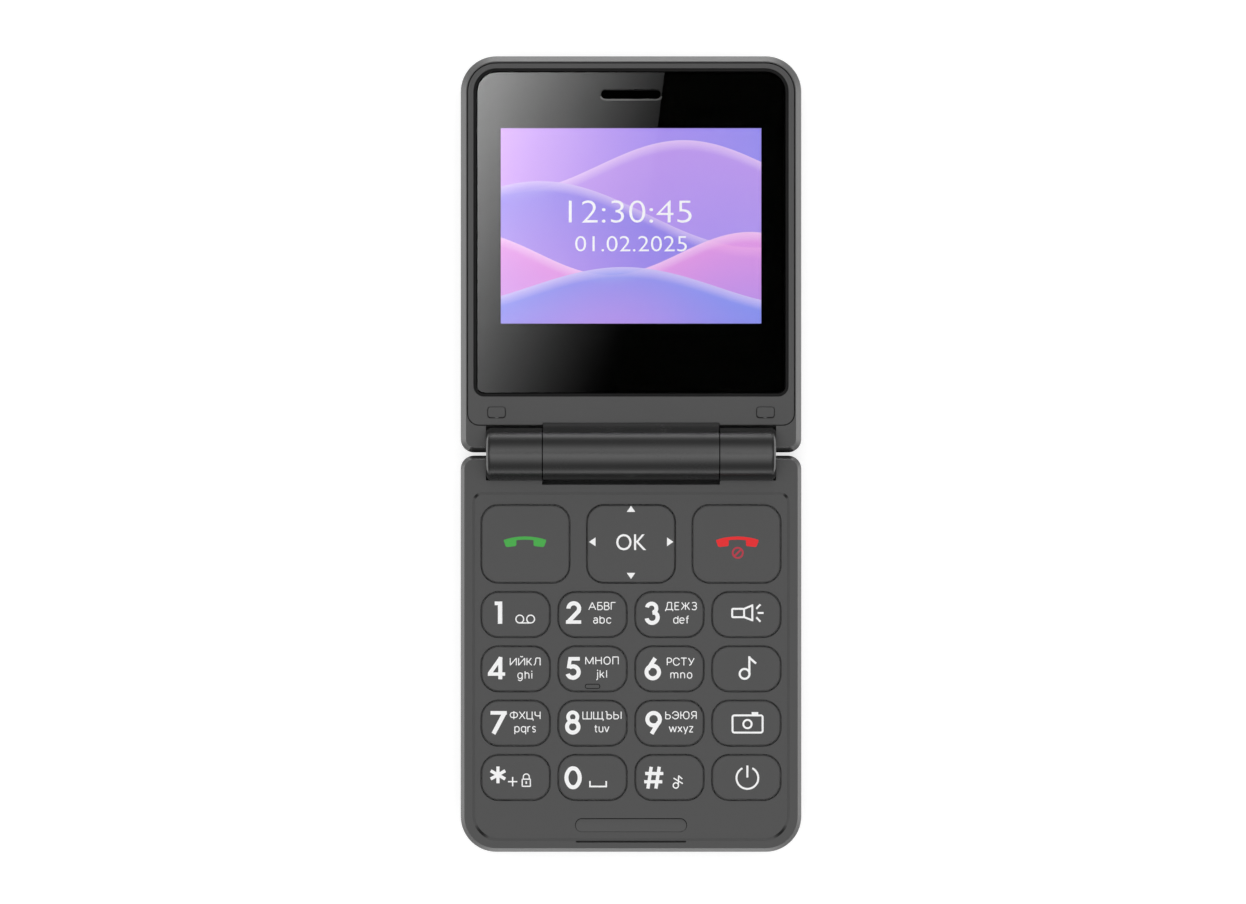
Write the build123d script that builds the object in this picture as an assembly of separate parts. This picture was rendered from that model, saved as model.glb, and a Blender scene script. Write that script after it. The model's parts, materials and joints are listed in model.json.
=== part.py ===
from build123d import *
import math
import os

# Clamshell mobile phone, lying open and flat on its back. All sizes are in millimetres.
# X runs along the hinge. +Y runs from the hinge to the top of the display half (the lid) and -Y to the far
# end of the keypad half (the base). +Z runs up from the table through the inner faces of both halves.

# Overall form
WIDTH = 64.0  # across both halves
REACH = 74.75  # hinge axis to the far end of each half
LID_THICK = 8.7  # lid back to lid face
FACE_GAP = 0.6  # between the two faces when shut
END_GAP = 0.6  # between the two halves beside the hinge
FAR_CORNER_R = 6.7  # plan corners away from the hinge
EAR_CORNER_R = 2.5  # plan corners beside the hinge
BACK_EDGE_R = 2.2  # rounded edge of both backs
BASE_RIM_CUT = 0.7  # sloping edge of the base face
LID_RIM_CUT = 1.0  # sloping edge of the lid face

# Fits
FIT = 0.05  # between fixed pieces
RUN_FIT = 0.06  # radial, between turning pieces
SEAM = 0.1  # visible seams
TINY = 1e-6

# Hinge barrel
BARREL_R = 4.93
EAR_W = 4.85  # both halves beside the barrel
SIDE_SPAN = 10.45  # each of the base's knuckles
KNUCKLE_GAP = 0.2
BARREL_END_R = 0.9
LID_TROUGH_GAP = 0.38  # lid round the base's knuckles
BASE_TROUGH_GAP = 0.85  # base round the lid's knuckle
FAIRING_FLARE = 0.87  # centre knuckle's flank beyond its radius, on the lid face
TONGUE_W = 15.5  # fixing tongue of the centre knuckle
TONGUE_X = -6.25
TONGUE_T = 1.4
TONGUE_REACH = 10.2
FOOT_W = 6.0  # fixing foot of each outer knuckle
FOOT_L = 3.0
FOOT_Y = 2.8
FOOT_DEPTH = 1.9  # below the seam of the base covers

# Hinge cartridge, cam shaft and pivot
CARTRIDGE_R = 3.2
CARTRIDGE_WALL = 0.7
CARTRIDGE_FLAT = 2.8  # axis to the flat that keys it
CAM_STUB_R = 2.1
KNUCKLE_END_WALL = 2.45  # solid outer end of each side knuckle
CAM_STUB_FLAT = 1.5
CAM_HEAD_LEN = 1.8
CAM_SHAFT_R = 1.1
CAM_COLLAR_R = 1.7  # holds the stack of springs
CAM_COLLAR_LEN = 0.4
DISC_COUNT = 7
DISC_PITCH = 1.0
DISC_T = 0.4
DISC_CONE = 0.55
PIN_R = 2.7
PIN_BORE_R = 2.0
PIN_FLEX_GAP = 0.9  # pin's end to the ribbon
BEARING_LEN = 6.0  # length that turns in the centre knuckle
CHAMBER_R = 3.2  # flex chamber in the centre knuckle
CHAMBER_LEN = 6.0

# Flex cable
FLEX_W = 4.6
FLEX_T = 0.2
FLEX_ROLL_R = 1.5
FLEX_SLOT = 0.8  # slots that the ribbon passes
FLEX_END_GAP = 0.47  # beside the ribbon in the right knuckle
FLEX_LANDING = 1.3  # ribbon end on each board

# Base covers
BASE_WALL = 1.2
TROUGH_WALL = 1.1  # between the hinge trough and the inside
DECK_RIM = 2.2  # rim beside the deck
DECK_NEAR_RIM = 1.37
DECK_FAR_RIM = 2.05
DECK_NEAR_R = 1.9
DECK_FAR_R = 5.0
DECK_DEPTH = 0.2
PLATE_T = 1.57  # front cover over the keys' flanges
DECK_SLOPE = 0.5
GROOVE_W = 20.7  # nail groove on the far rim
GROOVE_L = 0.35
GROOVE_DEPTH = 1.1
GROOVE_INSET = 1.95
DOOR_NEAR = 15.0  # hinge axis to the battery door
DOOR_FLOOR = 1.0
DOOR_RISE = 2.8  # height of the door's rounded edge
DOOR_WALL = 1.2
DOOR_RAIL = 0.5  # rails that slide in the rear cover
DOOR_RAIL_T = 0.6
DOOR_GRIP_W = 16.0
DOOR_GRIP_L = 0.6
DOOR_GRIP_DEPTH = 0.3
DOOR_GRIP_PITCH = 1.8
DOOR_GRIP_COUNT = 5
DOOR_GRIP_INSET = 9.5  # last groove to the far end
SKIRT_WALL = 1.0
BACK_SKIN = 1.2  # rear cover under the loudspeaker
FLOOR_T = 0.6  # rear cover between battery and board

# Battery and board
BATTERY_W = 36.0
BATTERY_T = 4.4
BATTERY_R = 1.5
END_BLOCK = 8.15  # solid end of the rear cover beyond the battery
END_INSET = 4.6  # far end to the row of small parts in that block
BLOCK_R = 0.6  # corners of small inner blocks
BAY_GAP = 0.3
BAY_RIB = 1.2
BOARD_T = 0.7
BOARD_GAP = 0.4  # board edge to the covers
CARD_BAY_GAP = 1.4  # round the card holder and the shield can
CARD_L = 17.0
CARD_T = 1.5
CARD_SKIN = 0.5
SHIELD_T = 1.7
SHIELD_SKIN = 0.2
CONTACT_COUNT = 3
CONTACT_PITCH = 4.5
CONTACT_W = 1.6
CONTACT_L = 2.0
CONTACT_T = 3.4
CONTACT_SKIN = 0.5
SPEAKER_W = 16.0
SPEAKER_SIDE = 22.0  # its centre to the side of the phone
SPEAKER_T = 4.6
SPEAKER_WALL = 0.6
SPEAKER_RIM = 1.0
SPEAKER_CONE = 0.3
SOUND_SLOT_W = 1.0
SOUND_SLOT_L = 5.0
SOUND_SLOT_PITCH = 2.4
SOUND_SLOT_COUNT = 5
MOTOR_R = 3.4
MOTOR_T = 2.8
MOTOR_SIDE = 10.5
MIC_R = 2.0
MIC_T = 1.4
MIC_HOLE_R = 0.5
ANTENNA_GAP = 3.1  # to the socket and the screw beside it
ANTENNA_L = 4.2
ANTENNA_T = 0.4

# Charging socket
SOCKET_W = 7.5
SOCKET_T = 2.6
SOCKET_DEPTH = 5.6
SOCKET_SKIN = 0.35
SOCKET_CHAMFER = 0.85
SOCKET_TONGUE_W = 4.0
SOCKET_TONGUE_T = 0.6
SOCKET_INSET = 0.5  # mouth behind the outer wall
SOCKET_CLEAR = 0.15

# Keys
KEYS_SIDE = 4.0  # outer keys to the side of the phone
KEYS_NEAR_RIM = 2.5  # deck's hinge edge to the first keys
KEYS_FAR = 9.85  # last keys to the far end
FUNC_L = 14.45
FUNC_SPACING = 3.45
GRID_SPACING = 1.76
ROW_SPACING = 1.89
KEY_FLAT = 2.0  # straight part of a small key's ends
KEY_EDGE_R = 0.3
KEY_GAP = 0.28
KEY_PROUD = 0.3
KEY_TRAVEL = 0.4
KEY_LIP = 0.56  # flange that holds the key under the cover
KEY_LIP_T = 0.65
DOME_R = 2.2
DOME_TOP_R = 1.3
DOME_H = 0.28
MAT_T = 0.6
MAT_MARGIN = 0.8
BUMP_W = 2.9  # tactile bar on the five key, with the moat round it
BUMP_L = 0.95
BUMP_H = 0.12
BUMP_INSET = 0.87  # from the key's edge
MOAT_W = 0.15
MOAT_DEPTH = 0.2

# Navigation key
NAV_TILT = 1.5  # degrees
NAV_DOME_R = 4.6  # centre to the four outer domes
NAV_POST_R = 1.6
NAV_POST_GAP = 0.15  # below the carrier
NAV_PIVOT_R = 0.45
NAV_PIVOT_LEN = 7.0
NAV_CARRIER = 9.0
NAV_CARRIER_T = 0.5
NAV_LIP_T = 0.45
NAV_ROOM = 0.25  # round the carrier inside the cap

# Closing pad
PAD_W = 20.8
PAD_L = 2.35
PAD_INSET = 5.05
PAD_T = 0.7
PAD_TILT = 8.0  # degrees
PAD_GAP = 0.12
PAD_LEAN = 0.06  # towards the far edge of its hole

# Lid covers
LID_RIM = 1.2  # outer cover's rim round the inner frame
LID_WALL = 2.0
LID_SKIN = 1.2
FRAME_SEAM = 0.2
FRAME_FAR_R = 5.5
FRAME_NEAR_R = 2.3
RIB_T = 1.2

# Window and display
WINDOW_SIDE = 3.0  # window to the sides and far end of the lid
WINDOW_END = 2.9
WINDOW_NEAR = 11.39
WINDOW_NEAR_R = 1.4
WINDOW_FAR_R = 3.8
WINDOW_T = 1.0
WINDOW_SINK = 0.2
WINDOW_EDGE = 0.15
GASKET_W = 0.6
GASKET_T = 0.25
GASKET_SINK = 0.35
LEDGE_T = 0.8
VIEW_SIDE = 4.52  # display's active area to the window's sides and far end
VIEW_END = 10.62
VIEW_NEAR = 24.51  # hinge axis to the active area
VIEW_MARGIN = 0.6
PANEL_SIDE = 2.3  # display module round its active area
PANEL_END = 2.0
PANEL_T = 2.3
SLOT_W = 11.3  # earpiece slot
SLOT_L = 1.75
SLOT_INSET = 7.15  # its centre to the far end
SLOT_SEAL = 0.6
RECEIVER_W = 14.0
RECEIVER_L = 6.4
RECEIVER_T = 3.2
MAGNET_W = 6.0
MAGNET_L = 3.0
MAGNET_T = 1.5
MAGNET_INSET = 12.0

# Lid board, camera and torch
LID_BOARD_SIDE = 9.0
LID_BOARD_NEAR = 10.8
LID_BOARD_L = 8.4
LID_BOARD_T = 0.7
LID_BOARD_RISE = 2.0  # above the lid's skin
CAMERA_SIZE = 5.8
CAMERA_HEADROOM = 0.8
CAMERA_X = -5.5
CAMERA_Y = 14.4
CAMERA_LENS_R = 2.0
CAMERA_GLASS_R = 2.8
CAMERA_RING_R = 4.2
CAMERA_RING_PROUD = 0.3  # lip round the camera window
CAMERA_RING_EDGE = 0.15
CAMERA_SEAT = 0.3  # camera window's seat below the back
TORCH_X = 5.5
TORCH_R = 1.7
TORCH_FLANGE_R = 2.2
TORCH_EDGE_R = 0.4

# Screws and plugs
SCREW_R = 0.7
SCREW_HEAD_R = 1.0
SCREW_HEAD_T = 0.7
SCREW_SLOT_W = 0.25
SCREW_SLOT_L = 1.3
SCREW_SLOT_DEPTH = 0.3
BOSS_R = 1.8
BASE_SCREW_INSET = 9.0
BASE_SCREW_SEAT = 3.4
FOOT_SCREW_SEAT = 2.2
TONGUE_SCREW_PITCH = 9.5
TONGUE_SCREW_Y = 8.3
PLUG_W = 3.25
PLUG_L = 1.95
PLUG_R = 0.5
PLUG_INSET = 6.75
PLUG_Y = 7.8
PLUG_T = 0.8
PLUG_GAP = 0.12
PLUG_LEAN = 0.05  # towards the far edge of its hole
PLUG_PROUD = 0.35
PLUG_EDGE_R = 0.17

# Heights and places that follow from the sizes above
BASE = -1
LID = 1
NEAR = END_GAP / 2
HALF = WIDTH / 2
BATTERY_Z = DOOR_FLOOR + FIT
FLOOR_Z = BATTERY_Z + BATTERY_T + FIT
SPLIT_Z = FLOOR_Z + FLOOR_T
BOARD_Z = SPLIT_Z + FIT
DOME_Z = BOARD_Z + BOARD_T
MAT_Z = DOME_Z + DOME_H + FIT
KEY_LIP_Z = MAT_Z + MAT_T + KEY_TRAVEL + FIT
PLATE_Z = KEY_LIP_Z + KEY_LIP_T + FIT
DECK_Z = PLATE_Z + PLATE_T
KEY_TOP = DECK_Z + KEY_PROUD
BASE_THICK = DECK_Z + DECK_DEPTH
AXIS_Z = BASE_THICK + FACE_GAP / 2

BARREL_END = HALF - EAR_W
SIDE_START = BARREL_END - SIDE_SPAN
SIDE_X = (SIDE_START + BARREL_END) / 2
CENTRE_END = SIDE_START - KNUCKLE_GAP
CARTRIDGE_LEN = 2 * CENTRE_END - BEARING_LEN - CHAMBER_LEN
LID_TROUGH_R = BARREL_R + LID_TROUGH_GAP
BASE_TROUGH_R = BARREL_R + BASE_TROUGH_GAP
FAIRING_REACH = BARREL_R + FAIRING_FLARE
POCKET_END = BARREL_END - KNUCKLE_END_WALL
TROUGH_END = BARREL_END + SEAM
CAM_HEAD_END = CAM_HEAD_LEN - CENTRE_END
FLEX_X1 = POCKET_END - FLEX_END_GAP  # ribbon at the right knuckle
FLEX_X0 = FLEX_X1 - FLEX_W

DOOR_SEAM_Z = DOOR_RISE + SEAM
RAIL_Z = (BATTERY_Z + DOOR_SEAM_Z) / 2
CAVITY_NEAR = BASE_TROUGH_R + TROUGH_WALL
SKIRT_INSET = DOOR_WALL + SEAM
BAY_NEAR = DOOR_NEAR + SKIRT_WALL
BAY_FAR = REACH - END_BLOCK
BAY_SIDE = HALF - SKIRT_INSET - SKIRT_WALL - DOOR_RAIL
BAY_X0 = -BAY_SIDE
BAY_X1 = BAY_X0 + BATTERY_W + 2 * BAY_GAP
BATTERY_X = (BAY_X0 + BAY_X1) / 2
BATTERY_L = BAY_FAR - BAY_NEAR - 2 * BAY_GAP
CARD_BAY_X0 = BAY_X1 + BAY_RIB
CARD_BAY_X = (CARD_BAY_X0 + BAY_SIDE) / 2
CARD_BAY_NEAR = BAY_NEAR + SKIRT_WALL
CARD_W = BAY_SIDE - CARD_BAY_X0 - 2 * CARD_BAY_GAP
SHIELD_L = BAY_FAR - CARD_BAY_NEAR - CARD_L - 3 * CARD_BAY_GAP
SPEAKER_X = HALF - SPEAKER_SIDE
SPEAKER_Y = (CAVITY_NEAR + DOOR_NEAR) / 2
SPEAKER_L = DOOR_NEAR - CAVITY_NEAR - 2 * SPEAKER_WALL
MOTOR_X = MOTOR_SIDE - HALF
END_Y = REACH - END_INSET
BASE_SCREW_X = HALF - BASE_SCREW_INSET
ANTENNA_X0 = SOCKET_W / 2 + ANTENNA_GAP
ANTENNA_X1 = BASE_SCREW_X - SCREW_HEAD_R - ANTENNA_GAP
ANTENNA_X = (ANTENNA_X0 + ANTENNA_X1) / 2
ANTENNA_W = ANTENNA_X1 - ANTENNA_X0
MIC_X = -ANTENNA_X

DECK_NEAR = BASE_TROUGH_R + DECK_NEAR_RIM
KEYS_NEAR = DECK_NEAR + KEYS_NEAR_RIM
KEYS_W = 2 * (HALF - KEYS_SIDE)
PAD_Y = REACH - PAD_INSET
GRID_NAMES = (
    ("key_1", "key_2", "key_3", "key_torch"),
    ("key_4", "key_5", "key_6", "key_music"),
    ("key_7", "key_8", "key_9", "key_camera"),
    ("key_star", "key_0", "key_hash", "key_power"),
)
FUNC_NAMES = ("call_key", "nav_key", "end_key")
ROWS = len(GRID_NAMES)
COLUMNS = len(GRID_NAMES[0])
FUNC_W = (KEYS_W - (len(FUNC_NAMES) - 1) * FUNC_SPACING) / len(FUNC_NAMES)
GRID_W = (KEYS_W - (COLUMNS - 1) * GRID_SPACING) / COLUMNS
GRID_NEAR = KEYS_NEAR + FUNC_L + ROW_SPACING
GRID_FAR = REACH - KEYS_FAR
GRID_L = (GRID_FAR - GRID_NEAR - (ROWS - 1) * ROW_SPACING) / ROWS
KEY_CORNER_R = (GRID_L - KEY_FLAT) / 2
NAV_SWING = math.sin(math.radians(NAV_TILT)) * (FUNC_W / 2 + FUNC_L / 2 + 2 * KEY_LIP)
NAV_LIP_Z = PLATE_Z - NAV_SWING - FIT - NAV_LIP_T
NAV_POST_Z = DOME_Z + DOME_H + KEY_TRAVEL + FIT
NAV_CARRIER_Z = NAV_POST_Z + 2 * NAV_PIVOT_R
NAV_PIVOT_Z = NAV_CARRIER_Z - FIT
NAV_RIDGE_Z = NAV_CARRIER_Z + NAV_CARRIER_T + FIT

LID_FACE = AXIS_Z - FACE_GAP / 2
LID_BACK = LID_FACE - LID_THICK
SKIN_Z = LID_BACK + LID_SKIN
WINDOW_Z = LID_FACE - WINDOW_SINK - WINDOW_T
LEDGE_Z = WINDOW_Z - GASKET_T
FRAME_Z = LEDGE_Z - LEDGE_T
PANEL_Z = FRAME_Z - FIT - PANEL_T
LID_CAVITY_NEAR = LID_TROUGH_R + TROUGH_WALL
TONGUE_Z = FRAME_Z - 2 * FIT - TONGUE_T
WINDOW_W = WIDTH - 2 * WINDOW_SIDE
WINDOW_FAR = REACH - WINDOW_END
VIEW_W = WINDOW_W - 2 * VIEW_SIDE
VIEW_FAR = WINDOW_FAR - VIEW_END
PANEL_W = VIEW_W + 2 * PANEL_SIDE
PANEL_NEAR = VIEW_NEAR - PANEL_END
PANEL_FAR = VIEW_FAR + PANEL_END
SLOT_Y = REACH - SLOT_INSET
PLUG_X = HALF - PLUG_INSET
MAGNET_X = HALF - MAGNET_INSET
LID_BOARD_Z = SKIN_Z + LID_BOARD_RISE + FIT
LID_BOARD_W = WIDTH - 2 * LID_BOARD_SIDE
LID_BOARD_FAR = LID_BOARD_NEAR + LID_BOARD_L
CAMERA_SEAT_Z = LID_BACK + CAMERA_SEAT
CAMERA_LIP_Z = LID_BACK - CAMERA_RING_PROUD
CAMERA_TOP = FRAME_Z - CAMERA_HEADROOM


def box(x0, x1, y0, y1, z0, z1):
    """A block between two corners."""
    middle = Pos((x0 + x1) / 2, (y0 + y1) / 2, (z0 + z1) / 2)
    return middle * Box(abs(x1 - x0), abs(y1 - y0), abs(z1 - z0))


def post(radius, x, y, z0, z1):
    """An upright cylinder."""
    return Pos(x, y, (z0 + z1) / 2) * Cylinder(radius, z1 - z0)


def bar(radius, x0, x1, y=0.0, z=AXIS_Z):
    """A cylinder along X, on the hinge axis unless told otherwise."""
    return Pos((x0 + x1) / 2, y, z) * Rot(0, 90, 0) * Cylinder(radius, x1 - x0)


def flat_bar(radius, flat, x0, x1):
    """A cylinder on the hinge axis with one flat below it."""
    return bar(radius, x0, x1) & box(x0, x1, -radius, radius, AXIS_Z - flat, AXIS_Z + radius)


def tile(x, y, width, length, radius, z0, z1):
    """An upright prism with rounded plan corners."""
    return Pos(x, y, z0) * extrude(RectangleRounded(width, length, radius), amount=z1 - z0)


def slot(x, y, width, length, z0, z1):
    """An upright prism with round ends along X."""
    return Pos(x, y, z0) * extrude(SlotOverall(width, length), amount=z1 - z0)


def plan(side, half_width, near, far, near_r, far_r):
    """Plan outline on one side of the hinge, with its own radius for each pair of corners."""
    y0, y1 = side * near, side * far
    corners = ((-half_width, y0), (half_width, y0), (half_width, y1), (-half_width, y1))
    sheet = make_face(Polyline(*corners, close=True))
    sheet = fillet([v for v in sheet.vertices() if abs(v.Y - y0) < TINY], near_r)
    return fillet([v for v in sheet.vertices() if abs(v.Y - y1) < TINY], far_r)


def half_plan(side):
    """Outer outline of one half."""
    return plan(side, HALF, NEAR, REACH, EAR_CORNER_R, FAR_CORNER_R)


def plate(sheet, z0, z1):
    """A plan outline raised between two heights."""
    return extrude(Pos(0, 0, z0) * sheet, amount=z1 - z0, dir=(0, 0, 1))


def ribbon(points, thickness, x0, x1):
    """A flat ribbon across X that follows (y, z) points."""
    section = Plane.YZ * trace(Polyline(*points), thickness)
    return Pos(x0, 0, 0) * extrude(section, amount=x1 - x0, dir=(1, 0, 0))


def screw(x, y, seat, tip):
    """A cross-slotted screw whose head lies on its seat, pointing from the seat to its tip."""
    way = 1 if tip > seat else -1
    top = seat - way * SCREW_HEAD_T
    body = post(SCREW_HEAD_R, x, y, min(seat, top), max(seat, top))
    body += post(SCREW_R, x, y, min(seat, tip), max(seat, tip))
    floor = top + way * SCREW_SLOT_DEPTH
    for width, length in ((SCREW_SLOT_W, SCREW_SLOT_L), (SCREW_SLOT_L, SCREW_SLOT_W)):
        body -= box(x - width / 2, x + width / 2, y - length / 2, y + length / 2, top, floor)
    return body


def key_layout():
    """Name, centre, width and length of every key."""
    keys = {}
    for column, name in enumerate(FUNC_NAMES):
        x = -KEYS_W / 2 + FUNC_W / 2 + column * (FUNC_W + FUNC_SPACING)
        keys[name] = (x, -KEYS_NEAR - FUNC_L / 2, FUNC_W, FUNC_L)
    for row, names in enumerate(GRID_NAMES):
        for column, name in enumerate(names):
            x = -KEYS_W / 2 + GRID_W / 2 + column * (GRID_W + GRID_SPACING)
            y = -GRID_NEAR - GRID_L / 2 - row * (GRID_L + ROW_SPACING)
            keys[name] = (x, y, GRID_W, GRID_L)
    return keys


KEYS = key_layout()


# Base covers


def base_back(top):
    """Rounded back of the base, from the table up to the given height."""
    body = plate(half_plan(BASE), 0, top)
    return fillet(body.edges().group_by(Axis.Z)[0], BACK_EDGE_R)


def base_troughs():
    """Room for the three knuckles: wide round the lid's one, close round the base's own."""
    wide = CENTRE_END + KNUCKLE_GAP
    return bar(BASE_TROUGH_R, -wide, wide) + bar(BARREL_R + FIT, -TROUGH_END, TROUGH_END)


def deck_recess():
    """Shallow recess with sloping sides round the keys."""
    sections = []
    for way in (-1, 1):
        grow = way * DECK_SLOPE
        sheet = plan(
            BASE,
            HALF - DECK_RIM + grow,
            DECK_NEAR - grow,
            REACH - DECK_FAR_RIM + grow,
            DECK_NEAR_R + grow,
            DECK_FAR_R + grow,
        )
        sections.append(Pos(0, 0, BASE_THICK + way * DECK_DEPTH) * sheet)
    return loft(sections, ruled=True)


def board_flex_path():
    """Ribbon route from the roll in the right knuckle to the main board, as (y, z) points."""
    landing = DOME_Z + FLEX_T
    return (
        (-FLEX_ROLL_R / 2, AXIS_Z - FLEX_ROLL_R / 2),
        (-FOOT_Y, landing),
        (-CAVITY_NEAR - FLEX_LANDING, landing),
    )


def base_front_cover():
    """Keypad face with its rim, walls, key holes and screw bosses."""
    body = plate(half_plan(BASE), SPLIT_Z, BASE_THICK)
    body = chamfer(body.edges().group_by(Axis.Z)[-1], BASE_RIM_CUT)
    inner = plan(
        BASE,
        HALF - BASE_WALL,
        CAVITY_NEAR,
        REACH - BASE_WALL,
        EAR_CORNER_R - BASE_WALL,
        FAR_CORNER_R - BASE_WALL,
    )
    body -= plate(inner, SPLIT_Z, PLATE_Z)
    body -= base_troughs()
    body -= deck_recess()
    for x, y, width, length in KEYS.values():
        grow = 2 * KEY_GAP
        body -= tile(x, y, width + grow, length + grow, KEY_CORNER_R + KEY_GAP, PLATE_Z, BASE_THICK)
    groove_floor = BASE_THICK - GROOVE_DEPTH
    body -= slot(0, GROOVE_INSET - REACH, GROOVE_W, GROOVE_L, groove_floor, BASE_THICK)
    body -= slot(0, -PAD_Y, PAD_W + 2 * PAD_GAP, PAD_L + 2 * PAD_GAP, DECK_Z - PAD_T, BASE_THICK)
    for side in (-1, 1):
        body += post(BOSS_R, side * BASE_SCREW_X, -END_Y, SPLIT_Z, PLATE_Z + FIT)
        body -= post(SCREW_R + FIT, side * BASE_SCREW_X, -END_Y, SPLIT_Z, PLATE_Z)
        body -= foot_block(side * SIDE_X, FIT)
    return body - ribbon(board_flex_path(), FLEX_SLOT, FLEX_X0 - SEAM, FLEX_X1 + SEAM)


def base_rear_cover():
    """Middle shell: hinge end of the back, side walls, battery bay and pockets for the small parts."""
    body = plate(half_plan(BASE), DOOR_SEAM_Z, SPLIT_Z)
    body += base_back(DOOR_SEAM_Z) & box(-HALF, HALF, -DOOR_NEAR, 0, 0, DOOR_SEAM_Z)
    skirt = plan(
        BASE,
        HALF - SKIRT_INSET,
        DOOR_NEAR - SEAM,
        REACH - SKIRT_INSET,
        EAR_CORNER_R - SKIRT_INSET,
        FAR_CORNER_R - SKIRT_INSET,
    )
    body += plate(skirt, BATTERY_Z, DOOR_SEAM_Z)
    body -= base_troughs()
    body -= box(BAY_X0, BAY_X1, -BAY_FAR, -BAY_NEAR, 0, FLOOR_Z)
    body -= box(CARD_BAY_X0, BAY_SIDE, -BAY_FAR, -CARD_BAY_NEAR, 0, SPLIT_Z)
    rail = DOOR_RAIL_T / 2 + SEAM
    for side in (-1, 1):
        outer = side * (HALF - DOOR_WALL)
        inner = outer - side * (DOOR_RAIL + SEAM + FIT)
        body -= box(inner, outer, -REACH, -BAY_NEAR, RAIL_Z - rail, RAIL_Z + rail)
        body -= foot_block(side * SIDE_X, FIT)
        body -= post(SCREW_R + FIT, side * SIDE_X, -FOOT_Y, 0, SPLIT_Z)
        body -= post(SCREW_HEAD_R + SEAM, side * SIDE_X, -FOOT_Y, 0, FOOT_SCREW_SEAT)
        body -= post(SCREW_R + FIT, side * BASE_SCREW_X, -END_Y, 0, SPLIT_Z)
        body -= post(SCREW_HEAD_R + SEAM, side * BASE_SCREW_X, -END_Y, 0, BASE_SCREW_SEAT)
    for x in contact_places():
        half = CONTACT_W / 2 + SEAM
        body -= box(x - half, x + half, -BAY_NEAR, -BAY_NEAR + CONTACT_L + SEAM, BACK_SKIN, SPLIT_Z)
    body -= tile(SPEAKER_X, -SPEAKER_Y, SPEAKER_W + SEAM, SPEAKER_L + SEAM, BLOCK_R, BACK_SKIN, SPLIT_Z)
    for step in range(SOUND_SLOT_COUNT):
        x = SPEAKER_X + (step - (SOUND_SLOT_COUNT - 1) / 2) * SOUND_SLOT_PITCH
        body -= Pos(x, -SPEAKER_Y, 0) * Rot(0, 0, 90) * slot(0, 0, SOUND_SLOT_L, SOUND_SLOT_W, 0, BACK_SKIN)
    body -= post(MOTOR_R + FIT, MOTOR_X, -SPEAKER_Y, BACK_SKIN, SPLIT_Z)
    body -= post(MIC_R + SEAM, MIC_X, -END_Y, BOARD_Z - MIC_T - SEAM, SPLIT_Z)
    mic_hole = Rot(90, 0, 0) * Cylinder(MIC_HOLE_R, REACH - END_Y)
    body -= Pos(MIC_X, -(REACH + END_Y) / 2, BOARD_Z - MIC_T / 2) * mic_hole
    width, length = ANTENNA_W + SEAM, ANTENNA_L + SEAM
    body -= tile(ANTENNA_X, -END_Y, width, length, BLOCK_R, SPLIT_Z - ANTENNA_T - FIT, SPLIT_Z)
    half = SOCKET_W / 2 + SOCKET_CLEAR
    socket_back = -REACH + SOCKET_INSET + SOCKET_DEPTH + SOCKET_CLEAR
    body -= box(-half, half, -REACH, socket_back, BOARD_Z - SOCKET_T - SOCKET_CLEAR, SPLIT_Z)
    return body


def battery_door():
    """Sliding back panel: a tray with rounded edges, two rails and grip grooves."""
    body = base_back(DOOR_RISE) & box(-HALF, HALF, -REACH, -DOOR_NEAR - SEAM, 0, DOOR_RISE)
    hollow = plan(BASE, HALF - DOOR_WALL, 0, REACH - DOOR_WALL, DOOR_FLOOR, FAR_CORNER_R - DOOR_WALL)
    body -= plate(hollow, DOOR_FLOOR, DOOR_RISE)
    rail = DOOR_RAIL_T / 2
    for side in (-1, 1):
        outer = side * (HALF - DOOR_WALL + FIT)
        inner = side * (HALF - DOOR_WALL - SEAM - DOOR_RAIL)
        body += box(inner, outer, FAR_CORNER_R - REACH, -BAY_NEAR - SEAM, RAIL_Z - rail, RAIL_Z + rail)
    for step in range(DOOR_GRIP_COUNT):
        y = DOOR_GRIP_INSET - REACH + step * DOOR_GRIP_PITCH
        body -= slot(0, y, DOOR_GRIP_W, DOOR_GRIP_L, 0, DOOR_GRIP_DEPTH)
    return body


# Base pieces


def battery():
    """Flat battery pack."""
    y = -BAY_NEAR - BAY_GAP - BATTERY_L / 2
    return tile(BATTERY_X, y, BATTERY_W, BATTERY_L, BATTERY_R, BATTERY_Z, BATTERY_Z + BATTERY_T)


def contact_places():
    """X of each battery contact."""
    first = BATTERY_X - (CONTACT_COUNT - 1) / 2 * CONTACT_PITCH
    return [first + step * CONTACT_PITCH for step in range(CONTACT_COUNT)]


def battery_contacts():
    """Spring contacts that hang from the board and reach the battery's edge."""
    pieces = []
    for x in contact_places():
        x0, x1 = x - CONTACT_W / 2, x + CONTACT_W / 2
        top = BOARD_Z - FIT
        foot = top - CONTACT_T
        piece = box(x0, x1, -BAY_NEAR, CONTACT_L - BAY_NEAR, top - CONTACT_SKIN, top)
        piece += box(x0, x1, -BAY_NEAR, CONTACT_SKIN - BAY_NEAR, foot, top)
        piece += box(x0, x1, FIT - BAY_NEAR - BAY_GAP, -BAY_NEAR, foot, foot + CONTACT_SKIN)
        pieces.append(piece)
    return Compound(children=pieces)


def main_board():
    """Printed circuit board with room for the screw bosses and the knuckle feet."""
    sheet = plan(
        BASE,
        HALF - BASE_WALL - BOARD_GAP,
        CAVITY_NEAR + BOARD_GAP,
        REACH - BASE_WALL - BOARD_GAP,
        EAR_CORNER_R - BASE_WALL,
        FAR_CORNER_R - BASE_WALL,
    )
    body = plate(sheet, BOARD_Z, DOME_Z)
    for x in (-BASE_SCREW_X, BASE_SCREW_X):
        body -= post(BOSS_R + BOARD_GAP, x, -END_Y, BOARD_Z, DOME_Z)
    return body


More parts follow.
